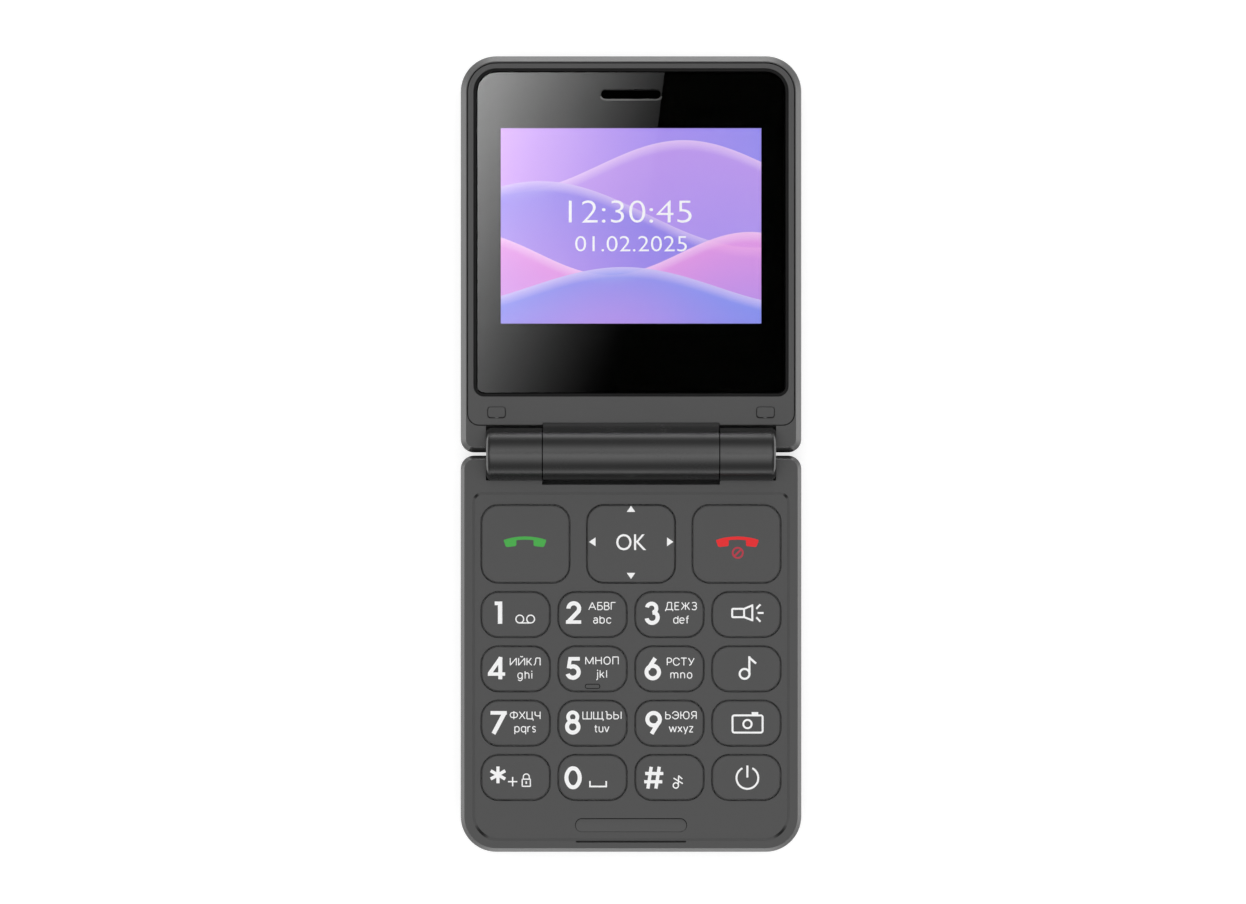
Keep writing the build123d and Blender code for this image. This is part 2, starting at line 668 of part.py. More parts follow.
def shield_can():
    """Folded metal can over the radio parts, under the board."""
    y = CARD_BAY_GAP - BAY_FAR + SHIELD_L / 2
    top = BOARD_Z - FIT
    floor = top - SHIELD_T
    can = tile(CARD_BAY_X, y, CARD_W, SHIELD_L, BLOCK_R, floor, top)
    grow = 2 * SHIELD_SKIN
    inner_r = BLOCK_R - SHIELD_SKIN
    return can - tile(CARD_BAY_X, y, CARD_W - grow, SHIELD_L - grow, inner_r, floor + SHIELD_SKIN, top)


def card_holder():
    """Card holder under the board, with a slot open to the hinge side of its bay."""
    y = -CARD_BAY_NEAR - CARD_BAY_GAP - CARD_L / 2
    top = BOARD_Z - FIT
    body = tile(CARD_BAY_X, y, CARD_W, CARD_L, BLOCK_R, top - CARD_T, top)
    half = CARD_W / 2 - CARD_SKIN
    y0, y1 = y - CARD_L / 2 + CARD_SKIN, y + CARD_L / 2
    return body - box(
        CARD_BAY_X - half, CARD_BAY_X + half, y0, y1, top - CARD_T + CARD_SKIN, top - CARD_SKIN
    )


def dome_places():
    """Centre of each snap dome: one under every key, and four more round the navigation key's."""
    places = [(x, y) for x, y, _, _ in KEYS.values()]
    x, y = KEYS["nav_key"][:2]
    places += [(x + NAV_DOME_R, y), (x - NAV_DOME_R, y), (x, y + NAV_DOME_R), (x, y - NAV_DOME_R)]
    return places


def key_domes():
    """Metal snap domes on the board."""
    dome = Cone(DOME_R, DOME_TOP_R, DOME_H, align=(Align.CENTER, Align.CENTER, Align.MIN))
    return Compound(children=[Pos(x, y, DOME_Z) * dome for x, y in dome_places()])


def keypad_mat():
    """Silicone sheet under the keys, open under the navigation key."""
    near = CAVITY_NEAR + BOARD_GAP + MAT_MARGIN
    far = GRID_FAR + MAT_MARGIN
    half = HALF - BASE_WALL - MAT_MARGIN
    body = plate(plan(BASE, half, near, far, MAT_MARGIN, MAT_MARGIN), MAT_Z, MAT_Z + MAT_T)
    x, y, width, length = KEYS["nav_key"]
    grow = 2 * (KEY_LIP + BOARD_GAP)
    body -= tile(x, y, width + grow, length + grow, KEY_CORNER_R, MAT_Z, MAT_Z + MAT_T)
    return body


def loudspeaker():
    """Loudspeaker in its pocket behind the sound slots."""
    floor = BACK_SKIN + FIT
    body = tile(SPEAKER_X, -SPEAKER_Y, SPEAKER_W, SPEAKER_L, BLOCK_R, floor, floor + SPEAKER_T)
    width, length = SPEAKER_W - 2 * SPEAKER_RIM, SPEAKER_L - 2 * SPEAKER_RIM
    return body - tile(SPEAKER_X, -SPEAKER_Y, width, length, BLOCK_R, floor, floor + SPEAKER_CONE)


def vibration_motor():
    """Sealed coin motor in its round pocket."""
    floor = BACK_SKIN + FIT
    body = post(MOTOR_R, MOTOR_X, -SPEAKER_Y, floor, floor + MOTOR_T)
    return fillet(body.edges().group_by(Axis.Z)[-1], BLOCK_R)


def microphone():
    """Capsule under the board at the far end."""
    return post(MIC_R, MIC_X, -END_Y, BOARD_Z - FIT - MIC_T, BOARD_Z - FIT)


def antenna():
    """Flat antenna under the far edge of the board."""
    top = SPLIT_Z - FIT
    return tile(ANTENNA_X, -END_Y, ANTENNA_W, ANTENNA_L, BLOCK_R, top - ANTENNA_T + FIT, top)


def charging_socket():
    """Metal socket shell with its contact tongue, open at the far end wall."""
    y0 = -REACH + SOCKET_INSET
    y1 = y0 + SOCKET_DEPTH
    top = BOARD_Z - FIT
    floor = top - SOCKET_T
    half = SOCKET_W / 2
    body = box(-half, half, y0, y1, floor, top)
    body = chamfer(body.edges().filter_by(Axis.Y).group_by(Axis.Z)[0], SOCKET_CHAMFER)
    half -= SOCKET_SKIN
    hollow = box(-half, half, y0, y1 - SOCKET_SKIN, floor + SOCKET_SKIN, top - SOCKET_SKIN)
    body -= chamfer(hollow.edges().filter_by(Axis.Y).group_by(Axis.Z)[0], SOCKET_CHAMFER)
    half = SOCKET_TONGUE_W / 2
    middle = (floor + top) / 2
    return body + box(-half, half, y0 + 2 * SOCKET_SKIN, y1, middle, middle + SOCKET_TONGUE_T)


def closing_pad():
    """Soft inlay below the keys, sunk towards the hinge."""
    y = -PAD_Y - PAD_LEAN
    body = slot(0, y, PAD_W, PAD_L, DECK_Z - PAD_T, DECK_Z)
    slice_block = Box(2 * PAD_W, 3 * PAD_L, PAD_T, align=(Align.CENTER, Align.MIN, Align.MIN))
    return body - Pos(0, y - PAD_L / 2, DECK_Z) * Rot(-PAD_TILT, 0, 0) * slice_block


def base_screws():
    """Two screws for the knuckle feet and two for the covers."""
    pieces = []
    for side in (-1, 1):
        pieces.append(screw(side * SIDE_X, -FOOT_Y, FOOT_SCREW_SEAT, SPLIT_Z))
        pieces.append(screw(side * BASE_SCREW_X, -END_Y, BASE_SCREW_SEAT, PLATE_Z - FIT))
    return Compound(children=pieces)


# Hinge


def foot_block(x, grow=0.0):
    """Fixing foot under an outer knuckle, or the pocket for it."""
    half = FOOT_W / 2 + grow
    y0, y1 = -FOOT_Y - FOOT_L / 2 - grow, -FOOT_Y + FOOT_L / 2 + grow
    return box(x - half, x + half, y0, y1, SPLIT_Z - FOOT_DEPTH - grow, AXIS_Z - BARREL_R / 2)


def side_knuckle(side):
    """Outer knuckle with a rounded outer end and its foot."""
    x0, x1 = sorted((side * SIDE_START, side * BARREL_END))
    body = bar(BARREL_R, x0, x1)
    outer = body.edges().group_by(Axis.X)[-1 if side > 0 else 0]
    body = fillet(outer, BARREL_END_R)
    body += foot_block(side * SIDE_X)
    return body - post(SCREW_R + FIT, side * SIDE_X, -FOOT_Y, 0, SPLIT_Z + FIT)


def left_hinge_barrel():
    """Outer knuckle that holds the cam shaft by its flat."""
    stub = flat_bar(CAM_STUB_R + FIT, CAM_STUB_FLAT + FIT, -POCKET_END, -SIDE_START)
    return side_knuckle(-1) - stub


def right_hinge_barrel():
    """Outer knuckle that holds the hollow pin, with a chamber and a slot for the flex cable."""
    body = side_knuckle(1) - bar(PIN_R, SIDE_START, POCKET_END)
    return body - ribbon(board_flex_path(), FLEX_SLOT, FLEX_X0 - SEAM, FLEX_X1 + SEAM)


def fairing_points():
    """Centre knuckle's flank: from its tangent point down to the lid face and inside the frame."""
    drop = LID_FACE - AXIS_Z
    reach = math.hypot(FAIRING_REACH, drop)
    angle = math.acos(BARREL_R / reach) + math.atan2(drop, FAIRING_REACH)
    tangent = (BARREL_R * math.cos(angle), AXIS_Z + BARREL_R * math.sin(angle))
    return (
        (0, AXIS_Z),
        tangent,
        (FAIRING_REACH, LID_FACE),
        (FAIRING_REACH, FRAME_Z + FIT),
        (0, FRAME_Z + FIT),
    )


def lid_flex_path():
    """Ribbon route from the roll in the centre knuckle to the lid board, as (y, z) points."""
    landing = LID_BOARD_Z + LID_BOARD_T + FLEX_T
    bend = LID_TROUGH_R - TROUGH_WALL
    return (
        (FLEX_ROLL_R / 2, AXIS_Z - FLEX_ROLL_R / 2),
        (bend, landing),
        (LID_BOARD_NEAR + FLEX_LANDING, landing),
    )


def lid_flex_span():
    """X limits of the ribbon in the lid."""
    x1 = CENTRE_END - BEARING_LEN - FIT
    return x1 - FLEX_W, x1


def lid_hinge_barrel():
    """Centre knuckle with its flank, fixing tongue, cartridge seat, flex chamber and bearing."""
    body = bar(BARREL_R, -CENTRE_END, CENTRE_END)
    flank = Plane.YZ * make_face(Polyline(*fairing_points(), close=True))
    body += Pos(-CENTRE_END, 0, 0) * extrude(flank, amount=2 * CENTRE_END, dir=(1, 0, 0))
    x0, x1 = TONGUE_X - TONGUE_W / 2, TONGUE_X + TONGUE_W / 2
    body += box(x0, x1, 0, TONGUE_REACH, TONGUE_Z, TONGUE_Z + TONGUE_T)
    seat_end = -CENTRE_END + CARTRIDGE_LEN + FIT
    body -= flat_bar(CARTRIDGE_R + FIT, CARTRIDGE_FLAT + FIT, -CENTRE_END, seat_end)
    body -= bar(CHAMBER_R, seat_end, CENTRE_END - BEARING_LEN)
    body -= bar(PIN_R + RUN_FIT, CENTRE_END - BEARING_LEN, CENTRE_END)
    x0, x1 = lid_flex_span()
    body -= ribbon(lid_flex_path(), FLEX_SLOT, x0 - SEAM, x1)
    for x in tongue_screw_places():
        body -= post(SCREW_R + FIT, x, TONGUE_SCREW_Y, TONGUE_Z, TONGUE_Z + TONGUE_T)
        body -= post(SCREW_HEAD_R + FIT, x, TONGUE_SCREW_Y, tongue_seat(), TONGUE_Z + TONGUE_T)
    return body


def tongue_seat():
    """Height of the screw seats in the tongue."""
    return TONGUE_Z + TONGUE_T - SCREW_HEAD_T


def tongue_screw_places():
    """X of the two screws in the centre knuckle's tongue."""
    return (TONGUE_X - TONGUE_SCREW_PITCH / 2, TONGUE_X + TONGUE_SCREW_PITCH / 2)


def hinge_cartridge():
    """Steel can, keyed in the centre knuckle by its flat."""
    x0, x1 = -CENTRE_END, -CENTRE_END + CARTRIDGE_LEN
    can = flat_bar(CARTRIDGE_R, CARTRIDGE_FLAT, x0, x1)
    return can - bar(CARTRIDGE_R - CARTRIDGE_WALL, x0, x1 - CARTRIDGE_WALL)


def hinge_cam_shaft():
    """Cam shaft: flat stub in the left knuckle, then head, thin shaft and collar in the cartridge."""
    body = flat_bar(CAM_STUB_R, CAM_STUB_FLAT, FIT - POCKET_END, -CENTRE_END)
    body += bar(CARTRIDGE_R - CARTRIDGE_WALL - RUN_FIT, -CENTRE_END, CAM_HEAD_END)
    collar = CAM_HEAD_END + DISC_COUNT * DISC_PITCH
    body += bar(CAM_COLLAR_R, collar, collar + CAM_COLLAR_LEN)
    shaft_end = -CENTRE_END + CARTRIDGE_LEN - CARTRIDGE_WALL - FIT
    return body + bar(CAM_SHAFT_R, CAM_HEAD_END, shaft_end)


def hinge_disc_springs():
    """Conical disc springs on the shaft, turned in pairs."""
    inner, outer = CAM_SHAFT_R + SEAM, CARTRIDGE_R - CARTRIDGE_WALL - SEAM
    pieces = []
    for step in range(DISC_COUNT):
        start = CAM_HEAD_END + (step + 0.5) * DISC_PITCH - (DISC_T + DISC_CONE) / 2
        lean = DISC_CONE if step % 2 else 0.0
        rise = DISC_CONE - 2 * lean
        points = (
            (start + lean, AXIS_Z + inner),
            (start + lean + rise, AXIS_Z + outer),
            (start + lean + rise + DISC_T, AXIS_Z + outer),
            (start + lean + DISC_T, AXIS_Z + inner),
        )
        section = Plane.XZ * make_face(Polyline(*points, close=True))
        pieces.append(revolve(section, Axis((0, 0, AXIS_Z), (1, 0, 0))))
    return Compound(children=pieces)


def hinge_pin():
    """Hollow pivot pin, held by the right knuckle and turning in the centre one."""
    x0, x1 = CENTRE_END - BEARING_LEN + FIT, FLEX_X0 - PIN_FLEX_GAP
    return bar(PIN_R - FIT / 2, x0, x1) - bar(PIN_BORE_R, x0, x1)


def board_flex():
    """Flex cable's base end: a roll in the pin and a ribbon to the main board."""
    roll = bar(FLEX_ROLL_R, CENTRE_END - BEARING_LEN + FIT, FLEX_X1)
    return roll + ribbon(board_flex_path(), FLEX_T, FLEX_X0, FLEX_X1)


def display_flex():
    """Flex cable's lid end: a roll in the centre knuckle and a ribbon to the lid board."""
    x0, x1 = lid_flex_span()
    return bar(FLEX_ROLL_R, x0, x1) + ribbon(lid_flex_path(), FLEX_T, x0, x1)


# Keys


def cap_and_lip(name, lip_z, lip_t):
    """Key cap with rounded top edges over the flange that holds it in."""
    x, y, width, length = KEYS[name]
    cap = tile(x, y, width, length, KEY_CORNER_R, lip_z, KEY_TOP)
    cap = fillet(cap.edges().group_by(Axis.Z)[-1], KEY_EDGE_R)
    grow = 2 * KEY_LIP
    return cap + tile(x, y, width + grow, length + grow, KEY_CORNER_R, lip_z, lip_z + lip_t)


def plain_key(name):
    """Key that is only pressed. The five key carries the tactile bar in its moat."""
    body = cap_and_lip(name, KEY_LIP_Z, KEY_LIP_T)
    if name == "key_5":
        x, y = KEYS[name][:2]
        y += BUMP_INSET - GRID_L / 2
        body -= slot(x, y, BUMP_W, BUMP_L, KEY_TOP - MOAT_DEPTH, KEY_TOP)
        width, length = BUMP_W - 2 * MOAT_W, BUMP_L - 2 * MOAT_W
        body += slot(x, y, width, length, KEY_TOP - MOAT_DEPTH, KEY_TOP + BUMP_H)
    return body


def nav_bar(radius, along_x, z):
    """Rocking pivot under the navigation key."""
    x, y = KEYS["nav_key"][:2]
    turn = Rot(0, 90, 0) if along_x else Rot(90, 0, 0)
    return Pos(x, y, z) * turn * Cylinder(radius, NAV_PIVOT_LEN)


def nav_key():
    """Navigation key cap, hollow over its carrier and grooved for the sideways pivot."""
    x, y = KEYS["nav_key"][:2]
    body = cap_and_lip("nav_key", NAV_LIP_Z, NAV_LIP_T)
    size = NAV_CARRIER + 2 * NAV_ROOM
    body -= tile(x, y, size, size, NAV_ROOM, NAV_LIP_Z, NAV_RIDGE_Z + NAV_ROOM)
    return body - nav_bar(NAV_PIVOT_R + RUN_FIT, False, NAV_RIDGE_Z)


def nav_key_carrier():
    """Plate between the two rocking pivots: a ridge above, a groove below."""
    x, y = KEYS["nav_key"][:2]
    top = NAV_CARRIER_Z + NAV_CARRIER_T
    body = tile(x, y, NAV_CARRIER, NAV_CARRIER, NAV_ROOM, NAV_CARRIER_Z, top)
    body += nav_bar(NAV_PIVOT_R, False, NAV_RIDGE_Z)
    return body - nav_bar(NAV_PIVOT_R + RUN_FIT, True, NAV_PIVOT_Z)


def nav_key_actuator():
    """Post over the centre dome, with the pivot for rocking towards and away from the hinge."""
    x, y = KEYS["nav_key"][:2]
    top = NAV_CARRIER_Z - NAV_POST_GAP
    return post(NAV_POST_R, x, y, NAV_POST_Z, top) + nav_bar(NAV_PIVOT_R, True, NAV_PIVOT_Z)


# Lid


def frame_plan(inset):
    """Outline of the lid's inner frame, drawn in by a seam."""
    return plan(
        LID,
        HALF - LID_RIM - inset,
        LID_TROUGH_R + inset,
        REACH - LID_RIM - inset,
        FRAME_NEAR_R - inset,
        FRAME_FAR_R - inset,
    )


def window_plan(grow):
    """Outline of the window, grown by a gap."""
    return plan(
        LID,
        WINDOW_W / 2 + grow,
        WINDOW_NEAR - grow,
        WINDOW_FAR + grow,
        WINDOW_NEAR_R + grow,
        WINDOW_FAR_R + grow,
    )


def view_hole(z0, z1):
    """Opening over the display's active area."""
    half = VIEW_W / 2 + VIEW_MARGIN
    return box(-half, half, VIEW_NEAR - VIEW_MARGIN, VIEW_FAR + VIEW_MARGIN, z0, z1)


def lid_outer_cover():
    """Lid's back, rim and ears, with ribs and bosses inside and a raised lip round the camera."""
    body = plate(half_plan(LID), LID_BACK, LID_FACE)
    body = chamfer(body.edges().group_by(Axis.Z)[-1], LID_RIM_CUT)
    body = fillet(body.edges().group_by(Axis.Z)[0], BACK_EDGE_R)
    body -= plate(frame_plan(0), FRAME_Z - FIT, LID_FACE)
    inner = plan(
        LID, HALF - LID_WALL, LID_CAVITY_NEAR, REACH - LID_WALL, FRAME_NEAR_R, FAR_CORNER_R - LID_WALL
    )
    cavity = plate(inner, SKIN_Z, FRAME_Z)
    for x in (-PLUG_X, PLUG_X):
        cavity -= post(BOSS_R, x, PLUG_Y, SKIN_Z, FRAME_Z)
    for x in tongue_screw_places():
        cavity -= post(BOSS_R, x, TONGUE_SCREW_Y, SKIN_Z, TONGUE_Z - FIT)
    for side in (-1, 1):
        x = side * (PANEL_W / 2 - RIB_T)
        cavity -= box(x - RIB_T / 2, x + RIB_T / 2, PANEL_NEAR, PANEL_FAR, SKIN_Z, PANEL_Z - FIT)
        x = side * (LID_BOARD_W / 2 - RIB_T)
        y0, y1 = LID_BOARD_NEAR, LID_BOARD_FAR
        cavity -= box(x - RIB_T / 2, x + RIB_T / 2, y0, y1, SKIN_Z, LID_BOARD_Z - FIT)
    body -= cavity
    body -= bar(LID_TROUGH_R, -TROUGH_END, TROUGH_END)
    x0, x1 = TONGUE_X - TONGUE_W / 2 - SEAM, TONGUE_X + TONGUE_W / 2 + SEAM
    body -= box(x0, x1, 0, TONGUE_REACH, TONGUE_Z - FIT, FRAME_Z)
    notch = CENTRE_END + SEAM
    body -= box(-notch, notch, 0, FAIRING_REACH + SEAM, FRAME_Z - FIT, LID_FACE)
    x0, x1 = lid_flex_span()
    body -= ribbon(lid_flex_path(), FLEX_SLOT, x0 - SEAM, x1 + SEAM)
    for x in (-PLUG_X, PLUG_X):
        body -= post(SCREW_R + FIT, x, PLUG_Y, SKIN_Z, FRAME_Z)
    for x in tongue_screw_places():
        body -= post(SCREW_R + FIT, x, TONGUE_SCREW_Y, SKIN_Z, TONGUE_Z)
    lip = post(CAMERA_RING_R, CAMERA_X, CAMERA_Y, CAMERA_LIP_Z, CAMERA_SEAT_Z)
    body += chamfer(lip.edges().group_by(Axis.Z)[0], CAMERA_RING_EDGE)
    body -= post(CAMERA_GLASS_R + FIT, CAMERA_X, CAMERA_Y, CAMERA_LIP_Z, CAMERA_SEAT_Z)
    body -= post(CAMERA_LENS_R + SEAM, CAMERA_X, CAMERA_Y, CAMERA_SEAT_Z, SKIN_Z)
    return body - post(TORCH_R + FIT, TORCH_X, CAMERA_Y, LID_BACK, SKIN_Z)


def lid_inner_frame():
    """Frame round the window: ledge, view opening, earpiece slot and plug pockets."""
    body = plate(frame_plan(FRAME_SEAM), FRAME_Z, LID_FACE)
    body -= plate(window_plan(GASKET_W), LEDGE_Z, LID_FACE)
    body -= view_hole(FRAME_Z, LEDGE_Z)
    body -= slot(0, SLOT_Y, SLOT_W, SLOT_L, FRAME_Z, LEDGE_Z)
    notch = CENTRE_END + SEAM
    body -= box(-notch, notch, 0, FAIRING_REACH + SEAM, FRAME_Z, LID_FACE)
    for x in (-PLUG_X, PLUG_X):
        width, length = PLUG_W + 2 * PLUG_GAP, PLUG_L + 2 * PLUG_GAP
        body -= tile(x, PLUG_Y, width, length, PLUG_R + PLUG_GAP, LID_FACE - PLUG_T, LID_FACE)
        body -= post(SCREW_HEAD_R + FIT, x, PLUG_Y, plug_seat(), LID_FACE)
        body -= post(SCREW_R + FIT, x, PLUG_Y, FRAME_Z, LID_FACE)
    return body


def plug_seat():
    """Height of the screw seats under the plugs."""
    return LID_FACE - PLUG_T - FIT - SCREW_HEAD_T


def window_gasket():
    """Black seal round and under the window, open over the display and the earpiece."""
    body = plate(window_plan(GASKET_W - FIT), LEDGE_Z, LID_FACE - GASKET_SINK)
    body -= plate(window_plan(FIT), WINDOW_Z - FIT, LID_FACE)
    body -= view_hole(LEDGE_Z, WINDOW_Z)
    width, length = SLOT_W + 2 * SLOT_SEAL, SLOT_L + 2 * SLOT_SEAL
    return body - slot(0, SLOT_Y, width, length, LEDGE_Z, WINDOW_Z)


def display_window():
    """Clear window with a bevelled edge and the earpiece slot."""
    body = plate(window_plan(0), WINDOW_Z, WINDOW_Z + WINDOW_T)
    body = chamfer(body.edges().group_by(Axis.Z)[-1], WINDOW_EDGE)
    return body - slot(0, SLOT_Y, SLOT_W, SLOT_L, WINDOW_Z, WINDOW_Z + WINDOW_T)


def display_panel():
    """Display module between the lid's ribs and the frame's ledge."""
    y, length = (PANEL_NEAR + PANEL_FAR) / 2, PANEL_FAR - PANEL_NEAR
    return tile(0, y, PANEL_W, length, BLOCK_R, PANEL_Z, PANEL_Z + PANEL_T)


def earpiece_speaker():
    """Receiver under the frame, behind the earpiece slot."""
    top = FRAME_Z - FIT
    return tile(0, SLOT_Y, RECEIVER_W, RECEIVER_L, BLOCK_R, top - RECEIVER_T, top)


def closing_magnet():
    """Magnet under the frame that tells the base when the lid is shut."""
    top = FRAME_Z - FIT
    return tile(MAGNET_X, SLOT_Y, MAGNET_W, MAGNET_L, BLOCK_R, top - MAGNET_T, top)


def lid_board():
    """Small board between the hinge and the display, open round the camera."""
    y = (LID_BOARD_NEAR + LID_BOARD_FAR) / 2
    top = LID_BOARD_Z + LID_BOARD_T
    body = tile(0, y, LID_BOARD_W, LID_BOARD_L, BLOCK_R, LID_BOARD_Z, top)
    size = CAMERA_SIZE + 2 * SEAM
    return body - tile(CAMERA_X, CAMERA_Y, size, size, BLOCK_R, LID_BOARD_Z, top)


def camera_module():
    """Camera block on the lid's skin with its lens barrel through it."""
    body = tile(CAMERA_X, CAMERA_Y, CAMERA_SIZE, CAMERA_SIZE, BLOCK_R, SKIN_Z + FIT, CAMERA_TOP)
    return body + post(CAMERA_LENS_R, CAMERA_X, CAMERA_Y, CAMERA_SEAT_Z + FIT, SKIN_Z + FIT)


def camera_window():
    """Clear disc inside the lip round the camera."""
    return post(CAMERA_GLASS_R, CAMERA_X, CAMERA_Y, CAMERA_LIP_Z + FIT, CAMERA_SEAT_Z - FIT)


def torch_lens():
    """Torch lens with a flange inside the lid's skin, up to the lid board."""
    body = post(TORCH_R, TORCH_X, CAMERA_Y, LID_BACK, SKIN_Z + FIT)
    body = fillet(body.edges().group_by(Axis.Z)[0], TORCH_EDGE_R)
    return body + post(TORCH_FLANGE_R, TORCH_X, CAMERA_Y, SKIN_Z + FIT, LID_BOARD_Z - FIT)


def screw_plugs():
    """Two soft plugs over the lid's screws, which also cushion the closing lid."""
    top = LID_FACE + PLUG_PROUD
    plug = tile(0, 0, PLUG_W, PLUG_L, PLUG_R, LID_FACE - PLUG_T + FIT, top)
    plug = fillet(plug.edges().group_by(Axis.Z)[-1], PLUG_EDGE_R)
    return Compound(children=[Pos(x, PLUG_Y + PLUG_LEAN, 0) * plug for x in (-PLUG_X, PLUG_X)])


def lid_screws():
    """Two screws under the plugs and two in the centre knuckle's tongue."""
    pieces = [screw(x, PLUG_Y, plug_seat(), SKIN_Z + FIT) for x in (-PLUG_X, PLUG_X)]
    pieces += [screw(x, TONGUE_SCREW_Y, tongue_seat(), SKIN_Z + FIT) for x in tongue_screw_places()]
    return Compound(children=pieces)


PIECES = (
    base_front_cover,
    base_rear_cover,
    battery_door,
    battery,
    battery_contacts,
    main_board,
    shield_can,
    card_holder,
    key_domes,
    keypad_mat,
    loudspeaker,
    vibration_motor,
    microphone,
    antenna,
    charging_socket,
    closing_pad,
    base_screws,
    left_hinge_barrel,
    right_hinge_barrel,
    lid_hinge_barrel,
    hinge_cartridge,
    hinge_cam_shaft,
    hinge_disc_springs,
    hinge_pin,
    board_flex,
    display_flex,
    nav_key,
    nav_key_carrier,
    nav_key_actuator,
    lid_outer_cover,
    lid_inner_frame,
    window_gasket,
    display_window,
    display_panel,
    earpiece_speaker,
    closing_magnet,
    lid_board,
    camera_module,
    camera_window,
    torch_lens,
    screw_plugs,
    lid_screws,
)

os.makedirs("parts", exist_ok=True)
for piece in PIECES:
    export_step(piece(), f"parts/{piece.__name__}.step")
for key_name in KEYS:
    if key_name != "nav_key":
        export_step(plain_key(key_name), f"parts/{key_name}.step")
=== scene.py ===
# %% [markdown]
# A clamshell phone is built here around its imported solids. The solids are the fixed frame: they give every
# shape that carries a load or moves. Blender adds what a solid can't say, which is print, light, glass and
# the skin of each material. The whole object's box is kept now.

# %% Load the imported phone
import json
import math
import bmesh
import bpy
from mathutils import Matrix, Vector


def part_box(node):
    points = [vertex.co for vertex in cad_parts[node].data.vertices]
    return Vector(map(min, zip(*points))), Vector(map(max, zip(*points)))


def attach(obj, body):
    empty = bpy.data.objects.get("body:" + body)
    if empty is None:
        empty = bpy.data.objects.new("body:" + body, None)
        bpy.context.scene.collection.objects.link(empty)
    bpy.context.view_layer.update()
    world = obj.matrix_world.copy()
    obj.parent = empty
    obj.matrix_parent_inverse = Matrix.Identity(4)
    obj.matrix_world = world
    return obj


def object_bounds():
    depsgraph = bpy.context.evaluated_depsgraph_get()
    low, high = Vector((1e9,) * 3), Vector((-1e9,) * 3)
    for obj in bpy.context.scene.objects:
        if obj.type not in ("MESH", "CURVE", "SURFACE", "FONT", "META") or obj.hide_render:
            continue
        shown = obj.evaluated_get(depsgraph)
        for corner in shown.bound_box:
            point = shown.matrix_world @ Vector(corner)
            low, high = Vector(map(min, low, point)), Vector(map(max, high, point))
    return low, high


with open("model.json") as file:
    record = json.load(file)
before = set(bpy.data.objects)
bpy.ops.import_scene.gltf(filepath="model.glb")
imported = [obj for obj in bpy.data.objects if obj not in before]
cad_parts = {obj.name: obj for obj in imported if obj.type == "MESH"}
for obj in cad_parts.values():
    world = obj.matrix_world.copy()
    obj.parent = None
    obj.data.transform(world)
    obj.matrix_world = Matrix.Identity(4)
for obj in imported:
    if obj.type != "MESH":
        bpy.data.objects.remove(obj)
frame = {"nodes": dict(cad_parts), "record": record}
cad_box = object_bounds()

MM = 0.001
scene = bpy.context.scene
nodes = frame["nodes"]

# %% [markdown]
# The phone lies open and flat and is seen from straight above, so the camera looks down. A long lens from
# far away keeps the two halves equal in scale, as product pictures do. The distance follows from the lens
# and from the width of the picture at the phone's face.

# %% Camera
LENS, SENSOR = 200.0, 36.0
VIEW_WIDTH = 234.0 * MM
FACE_Z = 10.7 * MM
EYE = Vector((-1.506 * MM, 0.376 * MM, FACE_Z + VIEW_WIDTH * LENS / SENSOR))
scene.view_settings.view_transform = "Standard"
camera_data = bpy.data.cameras.new("camera")
camera_data.lens, camera_data.sensor_width = LENS, SENSOR
camera = bpy.data.objects.new("camera", camera_data)
camera.location = EYE
scene.collection.objects.link(camera)
scene.camera = camera
print("camera height", round(EYE.z, 4))

# %% [markdown]
# Node trees are wired by a few small helpers. One makes a node, sets its values and links its inputs. The
# others each stand for one kind of node: a sum, a ramp of tones, a blend of two values, or the place that
# is shaded. With these, each finish below reads as a short recipe.

# %% Wiring helpers
def feed(tree, socket, value):
    if isinstance(value, bpy.types.NodeSocket):
        tree.links.new(value, socket)
    else:
        socket.default_value = value


def add(tree, kind, settings=None, **inputs):
    node = tree.nodes.new("ShaderNode" + kind)
    for label, value in (settings or {}).items():
        setattr(node, label, value)
    for label, value in inputs.items():
        feed(tree, node.inputs[label.replace("_", " ")], value)
    return node


def maths(tree, operation, *values):
    node = add(tree, "Math", {"operation": operation})
    for socket, value in zip(node.inputs, values):
        feed(tree, socket, value)
    return node.outputs[0]


def times(tree, product, *values):
    for value in values:
        product = maths(tree, "MULTIPLY", product, value)
    return product


def clamp(tree, value):
    return maths(tree, "MINIMUM", maths(tree, "MAXIMUM", value, 0.0), 1.0)


def ramp(tree, factor, stops):
    node = add(tree, "ValToRGB", Fac=factor)
    elements = node.color_ramp.elements
    while len(elements) < len(stops):
        elements.new(0.5)
    for element, (at, colour) in zip(elements, stops):
        element.position = at
        element.color = (*colour, 1) if isinstance(colour, tuple) else (colour, colour, colour, 1)
    return node.outputs["Color"]


def blend(tree, factor, under, over, kind="RGBA"):
    mix = add(tree, "Mix", {"data_type": kind})
    lanes = [socket for socket in mix.inputs if socket.enabled]
    for socket, value in zip(lanes, (factor, under, over)):
        feed(tree, socket, value)
    return [socket for socket in mix.outputs if socket.enabled][0]


def coords(tree, kind="Object"):
    return add(tree, "TexCoord").outputs[kind]


def place(tree, kind="Object"):
    return add(tree, "SeparateXYZ", Vector=coords(tree, kind)).outputs


print("wiring helpers ready")

# %% [markdown]
# A finish is a material with one Principled shader, kept by its name. What is the same all over it, such as
# the specular level, is set on the shader itself, where an export finds it. A shape is drawn in a bmesh,
# and one more helper makes it an object that wears a finish.

# %% Finish and object helpers
finishes = {}


def grey(level):
    return (level, level, level)


